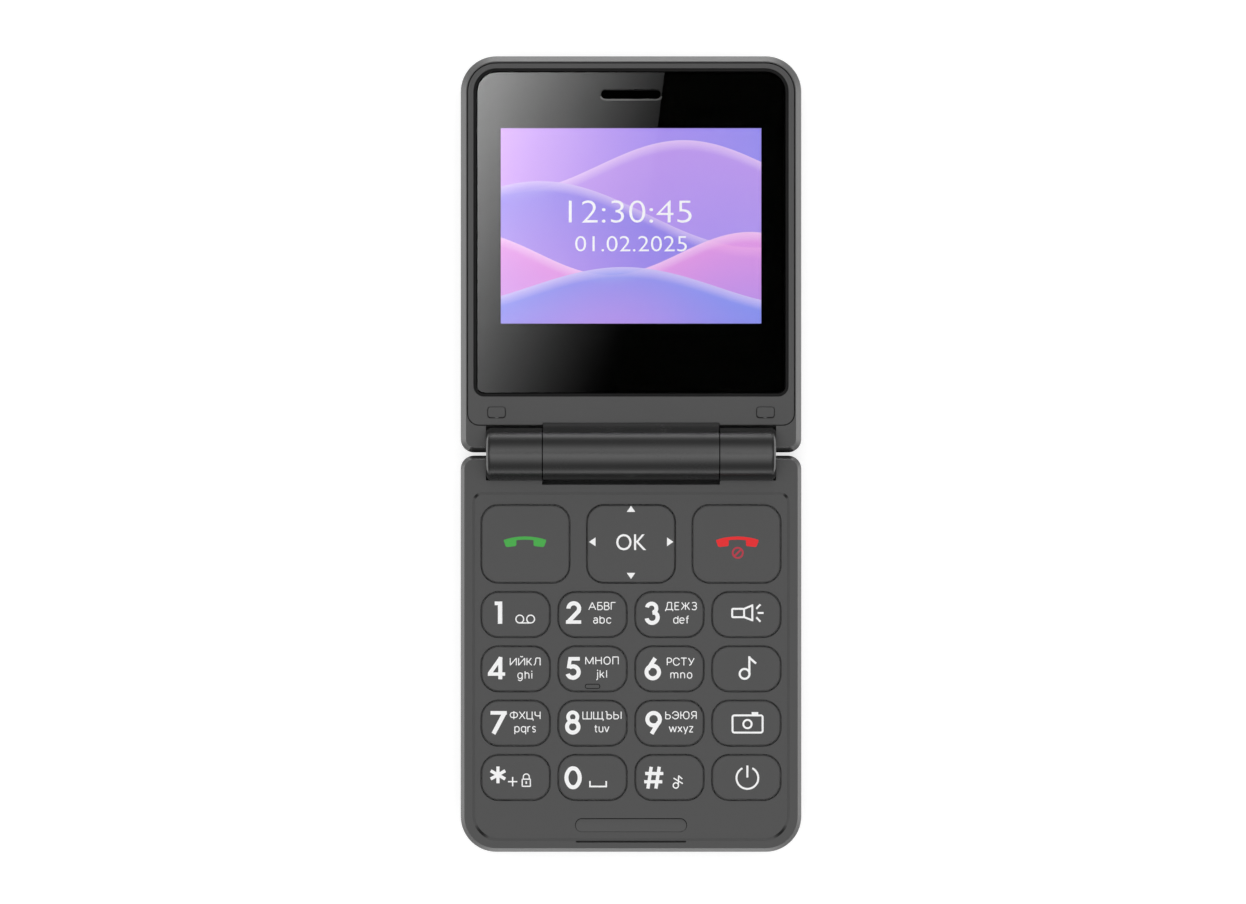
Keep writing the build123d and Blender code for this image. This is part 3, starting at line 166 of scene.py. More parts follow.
def start_finish(name, **constants):
    finish = bpy.data.materials.new(name)
    finish.use_nodes = True
    finishes[name] = finish
    shader = finish.node_tree.nodes["Principled BSDF"]
    for label, value in constants.items():
        shader.inputs[label.replace("_", " ")].default_value = value
    return finish.node_tree, shader


def make_object(bm, name, finish):
    mesh = bpy.data.meshes.new(name)
    bm.to_mesh(mesh)
    bm.free()
    mesh.materials.append(finishes[finish])
    thing = bpy.data.objects.new(name, mesh)
    scene.collection.objects.link(thing)
    return thing


print("finish and object helpers ready")

# %% [markdown]
# The studio is drawn in the world shader, as brightness by direction. A broad soft light hangs overhead in
# the shape of a cross. Below it is a dim belt, and along the horizon are strips of light on the four sides,
# which draw the bright line along each sloping rim. Between the four sides it is darker, and so are the
# corners. A small dark port stands where the window mirrors the sky, so that its flat glass stays black.

# %% World light
STRIP_SIDE, STRIP_TOP, STRIP_FOOT = 2.1, 4.05, 2.8
STRIP_SPREAD, STRIP_LOW = 12.0, 5.0
CROSS_DEPTH, NEVER_ZERO = 0.3, 1e-6
OVERHEAD = [(0.0, 0.09), (0.12, 0.45), (0.62, 0.45), (0.75, 0.8), (0.88, 1.63), (0.967, 2.44), (1.0, 2.64)]
OVERHEAD_PEAK = 2.64
PORT_Y, PORT_R, PORT_EDGE = 0.031, 0.036, 0.01

world = bpy.data.worlds.new("studio")
scene.world = world
world.use_nodes = True
sky = world.node_tree
across, along, up = place(sky, "Generated")
square_across, square_along = (times(sky, side, side) for side in (across, along))
level = maths(sky, "ADD", maths(sky, "ADD", square_across, square_along), NEVER_ZERO)
diagonal = maths(sky, "DIVIDE", times(sky, square_across, square_along), level)
lowered = maths(sky, "SUBTRACT", up, times(sky, diagonal, 4 * CROSS_DEPTH))
overhead = ramp(sky, lowered, [(at, brightness / OVERHEAD_PEAK) for at, brightness in OVERHEAD])
aside = maths(sky, "POWER", maths(sky, "SUBTRACT", along, PORT_Y), 2.0)
from_port = maths(sky, "SQRT", maths(sky, "ADD", aside, square_across))
port = clamp(sky, maths(sky, "DIVIDE", maths(sky, "SUBTRACT", from_port, PORT_R), PORT_EDGE))
overhead = times(sky, overhead, OVERHEAD_PEAK, port)
strips = times(sky, maths(sky, "POWER", maths(sky, "ABSOLUTE", across), STRIP_SPREAD), STRIP_SIDE)
for towards, strength in ((along, STRIP_TOP), (times(sky, along, -1.0), STRIP_FOOT)):
    lobe = maths(sky, "POWER", maths(sky, "MAXIMUM", towards, 0.0), STRIP_SPREAD)
    strips = maths(sky, "ADD", strips, times(sky, lobe, strength))
low = maths(sky, "POWER", maths(sky, "SUBTRACT", 1.0, maths(sky, "ABSOLUTE", up)), STRIP_LOW)
background = sky.nodes["Background"].inputs
feed(sky, background["Strength"], maths(sky, "ADD", overhead, times(sky, strips, low)))
feed(sky, background["Color"], (1, 1, 1, 1))
print("world nodes", len(sky.nodes))

# %% [markdown]
# The floor is one large plain sheet just under the phone. It is white to the camera and in reflections, and
# part of that white is real light that it catches, so the phone's soft shadow still shows on it.

# %% Floor
FLOOR_SIZE, FLOOR_DROP = 3.0, 0.02 * MM
PAPER_CATCHES, PAPER_SHOWS = 0.5, 0.68
sheet, shader = start_finish("white_paper", Base_Color=(*grey(PAPER_CATCHES), 1), Roughness=1.0,
                             Specular_IOR_Level=0.0, Emission_Color=(*grey(PAPER_SHOWS), 1))
rays = add(sheet, "LightPath").outputs
seen = maths(sheet, "MAXIMUM", rays["Is Camera Ray"], rays["Is Glossy Ray"])
seen = maths(sheet, "MAXIMUM", seen, rays["Is Transmission Ray"])
feed(sheet, shader.inputs["Emission Strength"], seen)
bm = bmesh.new()
bmesh.ops.create_grid(bm, x_segments=1, y_segments=1, size=FLOOR_SIZE,
                      matrix=Matrix.Translation((0, 0, cad_box[0][2] - FLOOR_DROP)))
floor = make_object(bm, "floor", "white_paper")
print("floor at", round(floor.data.vertices[0].co.z, 6))

# %% [markdown]
# The window carries one slanting glare, the reflection of a light panel that hangs over the left half of
# the lid. A painted glare would slide off in other views, so a real panel makes it. Its light is made
# first. It fades evenly to the eye towards the lower right, and the power turns that even fade into amounts
# of light.

# %% Glare panel's fading light
PANEL_RISE = 0.35
GLASS_Z = 10.5 * MM
GLARE_LEVEL, GLARE_SLOPES = 0.573, (-12.08, 4.94)
GLARE_START = Vector((-26.54 * MM, 70.03 * MM))
GLASS_MIRROR, EYE_POWER = 0.077, 2.2
spread = 1 + PANEL_RISE / (EYE.z - GLASS_Z)
tree, shader = start_finish("panel_light")
tree.nodes.remove(shader)
fade = GLARE_LEVEL
for socket, start, eye, slope in zip(place(tree), GLARE_START, EYE, GLARE_SLOPES):
    moved = maths(tree, "SUBTRACT", socket, eye + (start - eye) * spread)
    fade = maths(tree, "ADD", fade, times(tree, moved, slope / spread))
level = maths(tree, "POWER", maths(tree, "MAXIMUM", fade, 0.0), EYE_POWER)
light = add(tree, "Emission", Strength=maths(tree, "DIVIDE", level, GLASS_MIRROR))
feed(tree, tree.nodes["Material Output"].inputs["Surface"], light.outputs["Emission"])
print("panel light", len(tree.nodes), "nodes")

# %% [markdown]
# The panel's outline is the glare's outline, enlarged from the camera's axis because it hangs nearer to the
# lens. Neither the camera nor matt surfaces see it, so all that it adds to the picture is the glare.

# %% Glare panel
GLARE_EDGE = [(6.6, 74.0), (5.2, 63.0), (3.8, 50.0), (2.3, 40.0), (-0.6, 20.0), (-2.6, 8.0)]
GLARE_LEFT = -32.0
outline = [(GLARE_LEFT, GLARE_EDGE[0][1]), *GLARE_EDGE, (GLARE_LEFT, GLARE_EDGE[-1][1])]
bm = bmesh.new()
bm.faces.new([bm.verts.new((EYE.x + (x * MM - EYE.x) * spread, EYE.y + (y * MM - EYE.y) * spread,
                            GLASS_Z + PANEL_RISE)) for x, y in outline])
panel = make_object(bm, "glare_panel", "panel_light")
for ray in ("camera", "diffuse", "volume_scatter", "shadow"):
    setattr(panel, "visible_" + ray, False)
print("glare panel", [round(v, 3) for v in panel.data.vertices[0].co])

# %% [markdown]
# A node group is a recipe that many materials share. This one is the skin of a moulded part: a fine spark
# grain from the mould, and a slow drift in tone and gloss, because no moulding is perfectly even. It works
# on Object coordinates, in metres, so a Grain of 6000 gives specks of about a sixth of a millimetre.

# %% Moulded skin group
def new_group(name, inputs, outputs):
    group = bpy.data.node_groups.new(name, "ShaderNodeTree")
    for label, kind, value in inputs:
        socket = group.interface.new_socket(label, in_out="INPUT", socket_type="NodeSocket" + kind)
        socket.default_value = value
    for label, kind in outputs:
        group.interface.new_socket(label, in_out="OUTPUT", socket_type="NodeSocket" + kind)
    return group, group.nodes.new("NodeGroupInput").outputs, group.nodes.new("NodeGroupOutput").inputs


def put_out(tree, made, **values):
    for label, value in values.items():
        feed(tree, made[label], value)
    print(tree.name, len(tree.nodes), "nodes")


SKIN_OUTPUTS = [("Color", "Color"), ("Roughness", "Float"), ("Height", "Float")]
SKIN_DRIFT, SKIN_GLOSS_DRIFT, SKIN_GLOSS_GRAIN = 70.0, 0.16, 0.1
moulded_skin, given, made = new_group(
    "moulded_skin",
    [("Tone", "Color", (0.1, 0.1, 0.1, 1)), ("Roughness", "Float", 0.5), ("Grain", "Float", 6000.0),
     ("Unevenness", "Float", 0.1)], SKIN_OUTPUTS)
tree = moulded_skin
spot = coords(tree)
grain = add(tree, "TexNoise", Vector=spot, Scale=given["Grain"], Detail=2.0).outputs["Fac"]
drift = add(tree, "TexNoise", Vector=spot, Scale=SKIN_DRIFT, Detail=3.0).outputs["Fac"]
off_middle, speck = (maths(tree, "SUBTRACT", noise, 0.5) for noise in (drift, grain))
shade = times(tree, maths(tree, "ADD", off_middle, speck), given["Unevenness"])
tone = add(tree, "HueSaturation", Color=given["Tone"], Value=maths(tree, "ADD", shade, 1.0))
gloss = maths(tree, "ADD", given["Roughness"], times(tree, off_middle, SKIN_GLOSS_DRIFT))
gloss = maths(tree, "ADD", gloss, times(tree, speck, SKIN_GLOSS_GRAIN))
put_out(tree, made, Color=tone.outputs["Color"], Roughness=gloss, Height=grain)

# %% [markdown]
# A moulded finish is a Principled shader fed by that group. What changes over the surface, which is its
# colour, its roughness and its bump, comes from the group. One line then makes each of the phone's plastics
# and rubbers.

# %% Moulded finishes
def raise_bump(tree, shader, height, depth, strength=0.5):
    bump = add(tree, "Bump", Height=height, Distance=depth * MM, Strength=strength)
    feed(tree, shader.inputs["Normal"], bump.outputs["Normal"])


def use_group(tree, group, **inputs):
    return add(tree, "Group", {"node_tree": group}, **inputs).outputs


def wear_skin(tree, shader, group, depth, **inputs):
    skin = use_group(tree, group, **inputs)
    feed(tree, shader.inputs["Base Color"], skin["Color"])
    feed(tree, shader.inputs["Roughness"], skin["Roughness"])
    if depth:
        raise_bump(tree, shader, skin["Height"], depth)


def moulded(name, tone, roughness, grain=6000.0, depth=0.012, unevenness=0.1, specular=0.3):
    tree, shader = start_finish(name, Specular_IOR_Level=specular)
    wear_skin(tree, shader, moulded_skin, depth, Tone=(*tone, 1), Roughness=roughness, Grain=grain,
              Unevenness=unevenness)


moulded("cover_plastic", grey(0.0785), 0.4, specular=0.12)
moulded("frame_plastic", grey(0.055), 0.42, depth=0.008)
moulded("barrel_plastic", grey(0.006), 0.25, grain=9000.0, depth=0.003, specular=0.57)
moulded("key_plastic", grey(0.081), 0.45, grain=7000.0, depth=0.008, specular=0.12)
moulded("inner_plastic", grey(0.03), 0.5, grain=4000.0)
moulded("seal_rubber", grey(0.004), 0.6, grain=9000.0, specular=0.15)
moulded("plug_rubber", grey(0.078), 0.6, grain=8000.0, specular=0.2)
moulded("pad_rubber", grey(0.086), 0.6, grain=8000.0, specular=0.2)
moulded("keypad_silicone", (0.12, 0.12, 0.13), 0.55, grain=3000.0)
print("finishes", sorted(finishes))

# %% [markdown]
# The covers have a bright line all round their face, because the sloping rim is polished in the mould while
# the rest is grained. The slope is known by its normal, which leans halfway between up and sideways. A mask
# from the normal makes it a dark mirror there, and the mirror shows the strips of light along the horizon.
# A helper lays a value over whatever feeds an input of the shader so far.

# %% Polished rims on the covers
RIM_LEAN, RIM_WITHIN = 0.7071, 0.12
RIM_TONE, RIM_ROUGHNESS = 0.175, 0.25


def overlay(tree, label, mask, value, kind="RGBA"):
    socket = tree.nodes["Principled BSDF"].inputs[label]
    feed(tree, socket, blend(tree, mask, socket.links[0].from_socket, value, kind))


tree = finishes["cover_plastic"].node_tree
on_rim = maths(tree, "COMPARE", place(tree, "Normal")["Z"], RIM_LEAN, RIM_WITHIN)
overlay(tree, "Base Color", on_rim, (*grey(RIM_TONE), 1))
overlay(tree, "Roughness", on_rim, RIM_ROUGHNESS, "FLOAT")
feed(tree, tree.nodes["Principled BSDF"].inputs["Metallic"], on_rim)
print("cover finish", len(tree.nodes), "nodes")

# %% [markdown]
# Below the deck the keys are painted a pale tone, a painted light that lifts the shade in the gap round a
# key, so that the gap is not quite black. The moat round the bar on the five key is painted black, as painted
# shade in that hollow. A mask by height finds the key below the deck, and a box round the bar finds the moat.

# %% Painted light and shade on the keys
KEY_TOP, DECK_TOP, KEY_GAP_LIGHT_TONE = 10.8 * MM, 10.5 * MM, 0.2
MOAT_BELOW, MOAT_SHADE_TONE = KEY_TOP - 0.13 * MM, 0.004
MOAT_WIDE, MOAT_LONG, MOAT_FROM_FOOT = 1.47 * MM, 0.5 * MM, 1.43 * MM


def within(tree, spot, **bands):
    """One where every axis named lies no further from a middle than a reach, nought elsewhere."""
    return times(tree, *[maths(tree, "COMPARE", spot[axis], *band) for axis, band in bands.items()])


def paint(tree, mask, tone):
    """A grey tone, or a colour, over the base colour where the mask is one."""
    overlay(tree, "Base Color", mask, (*grey(tone), 1) if isinstance(tone, float) else tone)


tree = finishes["key_plastic"].node_tree
spot = place(tree)
five_low, five_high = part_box("key_5")
over_moat = within(tree, spot, X=((five_low.x + five_high.x) / 2, MOAT_WIDE),
                   Y=(five_low.y + MOAT_FROM_FOOT, MOAT_LONG))
# Painted light: a pale tone below the deck lifts the shade in the gaps round the keys.
paint(tree, maths(tree, "LESS_THAN", spot["Z"], DECK_TOP), KEY_GAP_LIGHT_TONE)
# Painted shade: the moat round the five key's bar is painted black.
paint(tree, times(tree, over_moat, maths(tree, "LESS_THAN", spot["Z"], MOAT_BELOW)), MOAT_SHADE_TONE)
print("keys painted above", round(DECK_TOP / MM, 2), "mm")

# %% [markdown]
# Narrow hollows are painted dark, as painted shade: the holes of the screw plugs in the lid's frame, and the
# pad's seat and the nail groove in the front cover. The frame has nothing else to see below its face, so
# height alone is enough there. The cover needs a box round the two hollows, because its outer sides and the
# battery door below them wear the same finish.

# %% Painted shade in the hollows of the frame and the front cover
FRAME_SHADE_BELOW = 10.4 * MM
HOLLOW_HALF = 11 * MM
HOLLOW_Y, HOLLOW_REACH = -70.5 * MM, 2.55 * MM
HOLLOW_Z, HOLLOW_DEEP = 9.95 * MM, 0.45 * MM
GROOVE_FROM = -71.5 * MM
SEAT_SHADE_TONE, GROOVE_SHADE_TONE = 0.005, 0.035

tree = finishes["frame_plastic"].node_tree
# Painted shade: the frame is painted dark below its face, in the holes of the screw plugs.
paint(tree, maths(tree, "LESS_THAN", place(tree)["Z"], FRAME_SHADE_BELOW), SEAT_SHADE_TONE)
tree = finishes["cover_plastic"].node_tree
spot = place(tree)
in_hollows = within(tree, spot, X=(0.0, HOLLOW_HALF), Y=(HOLLOW_Y, HOLLOW_REACH), Z=(HOLLOW_Z, HOLLOW_DEEP))
in_groove = maths(tree, "LESS_THAN", spot["Y"], GROOVE_FROM)
# Painted shade in the pad's seat and the nail groove.
paint(tree, in_hollows, ramp(tree, in_groove, [(0.0, SEAT_SHADE_TONE), (1.0, GROOVE_SHADE_TONE)]))
print("bare hollows, cover finish", len(tree.nodes), "nodes")

# %% [markdown]
# Two more masks paint shade on the covers. The slopes that face each other across the hinge gap are painted
# dark, as painted shade. The corners of the deck get painted shade too, where the normal of its gentle slope
# leans both ways at once.

# %% Painted shade on the slopes and corners of the covers
EAR_MIDDLE, EAR_HALF, EAR_SLOPE = 28.4 * MM, 1.5 * MM, 1.5 * MM
EAR_Z, EAR_DEEP, EAR_SHADE_TONE = 10.14 * MM, 0.54 * MM, 0.08
CORNER_BEYOND, CORNER_Z, CORNER_DEEP = -6.5 * MM, 10.6 * MM, 0.11 * MM
DECK_LEAN, DECK_WITHIN = 0.928, 0.04
CORNER_FROM, CORNER_FULL, CORNER_SHADE_TONE = 0.05, 0.069, 0.01

spot = place(tree)
aside = maths(tree, "COMPARE", maths(tree, "ABSOLUTE", spot["X"]), EAR_MIDDLE, EAR_HALF)
# Painted shade on the slopes beside the hinge gap.
paint(tree, times(tree, aside, within(tree, spot, Y=(0.0, EAR_SLOPE), Z=(EAR_Z, EAR_DEEP))), EAR_SHADE_TONE)
lean = place(tree, "Normal")
both_ways = maths(tree, "ABSOLUTE", times(tree, lean["X"], lean["Y"]))
corner_shade = maths(tree, "DIVIDE", maths(tree, "SUBTRACT", both_ways, CORNER_FROM), CORNER_FULL - CORNER_FROM)
on_slope = times(tree, maths(tree, "LESS_THAN", spot["Y"], CORNER_BEYOND),
                 within(tree, spot, Z=(CORNER_Z, CORNER_DEEP)),
                 within(tree, lean, Z=(DECK_LEAN, DECK_WITHIN)))
# Painted shade in the corners of the deck.
paint(tree, times(tree, on_slope, clamp(tree, corner_shade)), CORNER_SHADE_TONE)
print("dark slopes and corners, cover finish", len(tree.nodes), "nodes")

# %% [markdown]
# The hinge barrel gets painted light too. Its ends, which stand out from the phone, carry a painted highlight
# on top. Its steep sides are painted paler, as painted light, most of all where the middle knuckle slopes
# down to the lid.

# %% Painted highlights on the ends and sides of the barrel
END_HIGHLIGHT_FROM, END_HIGHLIGHT_ABOVE, END_HIGHLIGHT_TONE = 26.75 * MM, 14.4 * MM, 0.13
STEEP_FROM, STEEP_SPAN = 4.0 * MM, 1.8 * MM
STEEP_LIGHT_TONES = [(0.0, 0.006), (0.17, 0.019), (0.45, 0.022), (0.95, 0.053)]

tree = finishes["barrel_plastic"].node_tree
spot = place(tree)
past = maths(tree, "GREATER_THAN", maths(tree, "ABSOLUTE", spot["X"]), END_HIGHLIGHT_FROM)
# Painted highlight on top of the barrel's ends.
paint(tree, times(tree, past, maths(tree, "GREATER_THAN", spot["Z"], END_HIGHLIGHT_ABOVE)), END_HIGHLIGHT_TONE)
from_axis = maths(tree, "SUBTRACT", maths(tree, "ABSOLUTE", spot["Y"]), STEEP_FROM)
down_sides = maths(tree, "DIVIDE", from_axis, STEEP_SPAN)
# Painted light: the steep sides grow paler away from the axis.
paint(tree, maths(tree, "GREATER_THAN", down_sides, 0.0), ramp(tree, down_sides, STEEP_LIGHT_TONES))
print("barrel finish", len(tree.nodes), "nodes")

# %% [markdown]
# Metal parts are pressed or turned, so their skin is drawn out in one direction. A second group stretches a
# noise along X to give those drawing lines, and puts out a tone, a roughness and a height.

# %% Drawn metal group and finishes
DRAW_STRETCH = (300.0, 9000.0, 9000.0)
DRAW_TONE, DRAW_GLOSS, DRAW_DEPTH = 0.35, 0.25, 0.002
drawn_metal, given, made = new_group(
    "drawn_metal", [("Tone", "Color", (0.6, 0.6, 0.6, 1)), ("Roughness", "Float", 0.3)], SKIN_OUTPUTS)
tree = drawn_metal
pulled = add(tree, "Mapping", Vector=coords(tree), Scale=DRAW_STRETCH)
lines = add(tree, "TexNoise", Vector=pulled.outputs["Vector"], Scale=1.0, Detail=3.0).outputs["Fac"]
off_middle = maths(tree, "SUBTRACT", lines, 0.5)
value = maths(tree, "ADD", times(tree, off_middle, DRAW_TONE), 1.0)
tone = add(tree, "HueSaturation", Color=given["Tone"], Value=value)
gloss = maths(tree, "ADD", given["Roughness"], times(tree, off_middle, DRAW_GLOSS))
put_out(tree, made, Color=tone.outputs["Color"], Roughness=gloss, Height=lines)
METALS = {
    "sheet_steel": (grey(0.6), 0.3), "spring_steel": (grey(0.5), 0.25), "screw_steel": (grey(0.32), 0.35),
    "magnet_nickel": ((0.66, 0.63, 0.58), 0.22), "contact_gold": ((0.85, 0.6, 0.24), 0.22),
    "blackened_steel": (grey(0.02), 0.45),
}
for name, (tone, roughness) in METALS.items():
    tree, shader = start_finish(name, Metallic=1.0)
    wear_skin(tree, shader, drawn_metal, DRAW_DEPTH, Tone=(*tone, 1), Roughness=roughness)
print("metal finishes", sorted(METALS))

# %% [markdown]
# Glass is a Principled shader with full transmission. Real phone glass is never quite clean, so a faint
# noise lifts the roughness in patches where fingers have been. The window's edges are painted black, as
# glass makers do against stray light, and a mask from the normal finds them. The lens glass has a bluish
# coating.

# %% Glass finishes
EDGE_LEAN = 0.95
SMEAR_SCALE, SMEAR_ROUGHNESS = 120.0, 0.06


def glass(name, tint, **constants):
    tree, shader = start_finish(name, Transmission_Weight=1.0, IOR=1.5, Base_Color=(*tint, 1), **constants)
    smear = add(tree, "TexNoise", Vector=coords(tree), Scale=SMEAR_SCALE, Detail=4.0, Distortion=1.5)
    touched = maths(tree, "MAXIMUM", maths(tree, "SUBTRACT", smear.outputs["Fac"], 0.5), 0.0)
    feed(tree, shader.inputs["Roughness"], times(tree, touched, SMEAR_ROUGHNESS))
    return tree, shader


tree, shader = glass("window_glass", grey(1.0))
flat = maths(tree, "GREATER_THAN", maths(tree, "ABSOLUTE", place(tree, "Normal")["Z"]), EDGE_LEAN)
feed(tree, shader.inputs["Base Color"], ramp(tree, flat, [(0.0, 0.0), (1.0, 1.0)]))
glass("lens_glass", (0.9, 0.94, 1.0), Coat_Weight=0.3)
print("glass finishes ready")

# %% [markdown]
# The inside shows only when the phone is opened up, but it is finished too. The board has a green mask with
# paler traces from a brick pattern, and gold pads that sit at the middles of a cell pattern.

# %% Circuit board
MASK_GREEN, TRACE_GREEN, PAD_GOLD = (0.012, 0.09, 0.04, 1), (0.04, 0.2, 0.1, 1), (0.75, 0.52, 0.2, 1)
TRACE_SHARE, TRACE_DEPTH, PAD_REACH = 0.7, 0.02, 0.16
tree, shader = start_finish("circuit_board", Specular_IOR_Level=0.4)
spot = coords(tree)
weave = use_group(tree, moulded_skin, Tone=MASK_GREEN, Roughness=0.38, Grain=2500.0, Unevenness=0.4)
tracks = add(tree, "TexBrick", {"offset": 0.35, "squash": 1.6}, Vector=spot, Scale=420.0,
             Mortar_Size=0.05, Brick_Width=0.9, Row_Height=0.22).outputs["Fac"]
pads = add(tree, "TexVoronoi", {"feature": "F1"}, Vector=spot, Scale=380.0).outputs["Distance"]
on_pad = maths(tree, "LESS_THAN", pads, PAD_REACH)
traced = blend(tree, times(tree, tracks, TRACE_SHARE), weave["Color"], TRACE_GREEN)
feed(tree, shader.inputs["Base Color"], blend(tree, on_pad, traced, PAD_GOLD))
feed(tree, shader.inputs["Metallic"], on_pad)
feed(tree, shader.inputs["Roughness"], weave["Roughness"])
raise_bump(tree, shader, tracks, TRACE_DEPTH, 0.4)
print("board", len(tree.nodes), "nodes")

# %% [markdown]
# The battery has a plain foil wrap with a dark band near its contacts. The flex is an amber film with
# copper tracks, and the display panel is nearly black.

# %% Battery wrap, flex film and display panel
BAND_FROM_END, BAND_HALF, BAND_COLOUR = 6 * MM, 3 * MM, (0.02, 0.02, 0.022, 1)
FILM_TRACKS, FILM_AMBER, FILM_COPPER = 700.0, (0.35, 0.13, 0.02), (0.55, 0.25, 0.08)
FILM_SMOOTH, FILM_ROUGHER = 0.25, 0.15
moulded("battery_wrap", (0.34, 0.35, 0.37), 0.34, grain=1800.0, depth=0.02, unevenness=0.2, specular=0.5)
tree = finishes["battery_wrap"].node_tree
battery_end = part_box("battery")[1].y
paint(tree, within(tree, place(tree), Y=(battery_end - BAND_FROM_END, BAND_HALF)), BAND_COLOUR)

tree, shader = start_finish("flex_film", Specular_IOR_Level=0.5)
tracks = add(tree, "TexWave", {"wave_type": "BANDS", "bands_direction": "X"}, Scale=FILM_TRACKS,
             Vector=coords(tree)).outputs["Fac"]
feed(tree, shader.inputs["Base Color"], ramp(tree, tracks, [(0.4, FILM_AMBER), (0.6, FILM_COPPER)]))
feed(tree, shader.inputs["Roughness"], maths(tree, "ADD", times(tree, tracks, FILM_ROUGHER), FILM_SMOOTH))
raise_bump(tree, shader, tracks, 0.01)
moulded("display_glass", grey(0.012), 0.2, grain=9000.0, depth=0.001)
print("inner finishes ready")

# %% [markdown]
# A small torch lens has stepped rings inside. Its finish is milky, and a wave of rings about the lens's
# middle drives both its roughness and its bump.

# %% Torch glass
TORCH_RINGS, TORCH_SMOOTH, TORCH_ROUGHER, TORCH_DEPTH = 2600.0, 0.12, 0.1, 0.05
torch_low, torch_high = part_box("torch_lens")
torch_middle = (torch_low + torch_high) / 2
tree, shader = start_finish("torch_glass", Transmission_Weight=0.6, IOR=1.5, Base_Color=(0.95, 0.94, 0.88, 1))
centred = add(tree, "Mapping", Vector=coords(tree),
              Location=(-torch_middle.x, -torch_middle.y, 0.0)).outputs["Vector"]
rings = add(tree, "TexWave", {"wave_type": "RINGS", "rings_direction": "Z", "wave_profile": "SAW"},
            Vector=centred, Scale=TORCH_RINGS).outputs["Fac"]
feed(tree, shader.inputs["Roughness"], maths(tree, "ADD", times(tree, rings, TORCH_ROUGHER), TORCH_SMOOTH))
raise_bump(tree, shader, rings, TORCH_DEPTH)
print("torch lens at", [round(v / MM, 2) for v in torch_middle])

# %% [markdown]
# Every solid already names its material slot in the record, so one loop puts each finish on its solids. The
# steel of the hinge is blackened, as oiled hinge parts are, so nothing shines out of the gaps of the
# barrel, and the torch lens wears its own glass.

# %% Dress the solids
def dress(node, finish):
    for holder in nodes[node].material_slots:
        holder.material = finishes[finish]


for part in frame["record"]["subparts"]:
    dress(part["node"], part["material_slot"])
for name in ("hinge_cartridge", "hinge_pin", "hinge_cam_shaft"):
    dress(name, "blackened_steel")
dress("torch_lens", "torch_glass")

# %% [markdown]
# New pieces follow. Each is a bmesh, which becomes a mesh with its place in its vertices, and then rides on
# the body that carries it. Flat print and plates begin as faces in a plane, and one extrude makes them
# solid.

# %% Piece helpers
def thicken(bm, low, high):
    """Lift the flat faces of bm to low and extrude them to high, as closed solids."""
    bmesh.ops.translate(bm, verts=bm.verts[:], vec=(0, 0, low))
    flat = bm.faces[:] + bm.edges[:] + bm.verts[:]
    grown = bmesh.ops.extrude_face_region(bm, geom=flat, use_keep_orig=True)
    lifted = [item for item in grown["geom"] if isinstance(item, bmesh.types.BMVert)]
    bmesh.ops.translate(bm, verts=lifted, vec=(0, 0, high - low))
    bmesh.ops.recalc_face_normals(bm, faces=bm.faces[:])


def make_piece(bm, name, finish, body, smooth=None):
    piece = make_object(bm, name, finish)
    if smooth is not None:
        piece.data.shade_smooth()
        piece.data.set_sharp_from_angle(angle=math.radians(smooth))
    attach(piece, body)
    print(name, len(piece.data.polygons), "faces, rides on", body)


def round_corners(bm, corners, radius, segments):
    bmesh.ops.bevel(bm, geom=corners, offset=radius, offset_type="OFFSET", affect="VERTICES",
                    segments=segments, profile=0.5, material=-1)


def rounded_plate(bm, left, near, right, far, near_r, far_r, segments=10):
    """A flat face with rounded corners."""
    corners = [bm.verts.new((x, y, 0)) for x, y in ((left, near), (right, near), (right, far), (left, far))]
    bm.faces.new(corners)
    for pair, radius in ((corners[:2], near_r), (corners[2:], far_r)):
        if radius > 0:
            round_corners(bm, pair, radius, segments)


print("piece helpers ready")

# %% [markdown]
# Behind the glass lies a black print that frames the picture. It is one thin sheet with two openings, for
# the picture and for the earpiece. Three outlines are drawn as faces, their insides are taken away, and a
# fill between the outlines gives the sheet its openings without any cutting.

# %% Window print
PICTURE = (-24.48 * MM, 24.51 * MM, 24.48 * MM, 61.23 * MM)
SLOT_AT, SLOT_WIDE, SLOT_LONG = 67.6 * MM, 11.3 * MM, 1.75 * MM
PRINT_LOW, PRINT_HIGH, PRINT_INSET = 9.455 * MM, 9.495 * MM, 0.03 * MM
PRINT_NEAR_R, PRINT_FAR_R, SLOT_R = 1.4 * MM, 3.8 * MM, SLOT_LONG * 0.49
glass_low, glass_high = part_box("display_window")
bm = bmesh.new()
rounded_plate(bm, glass_low.x + PRINT_INSET, glass_low.y + PRINT_INSET, glass_high.x - PRINT_INSET,
              glass_high.y - PRINT_INSET, PRINT_NEAR_R, PRINT_FAR_R)
rounded_plate(bm, *PICTURE, 0, 0)
rounded_plate(bm, -SLOT_WIDE / 2, SLOT_AT - SLOT_LONG / 2, SLOT_WIDE / 2, SLOT_AT + SLOT_LONG / 2,
              SLOT_R, SLOT_R)
bmesh.ops.delete(bm, geom=bm.faces[:], context="FACES_ONLY")
bmesh.ops.triangle_fill(bm, edges=bm.edges[:], use_beauty=True, use_dissolve=False, normal=(0, 0, 1))
thicken(bm, PRINT_LOW, PRINT_HIGH)
moulded("black_print", grey(0.0015), 0.7, grain=9000.0, depth=0.001, specular=0.0)
make_piece(bm, "window_print", "black_print", "lid")

# %% [markdown]
# The display shows a plain wallpaper of soft overlapping waves in violet, blue and pink, under a clock. The
# waves are a group: a sine line across the picture, a soft fill below it and a thin glow on its crest.

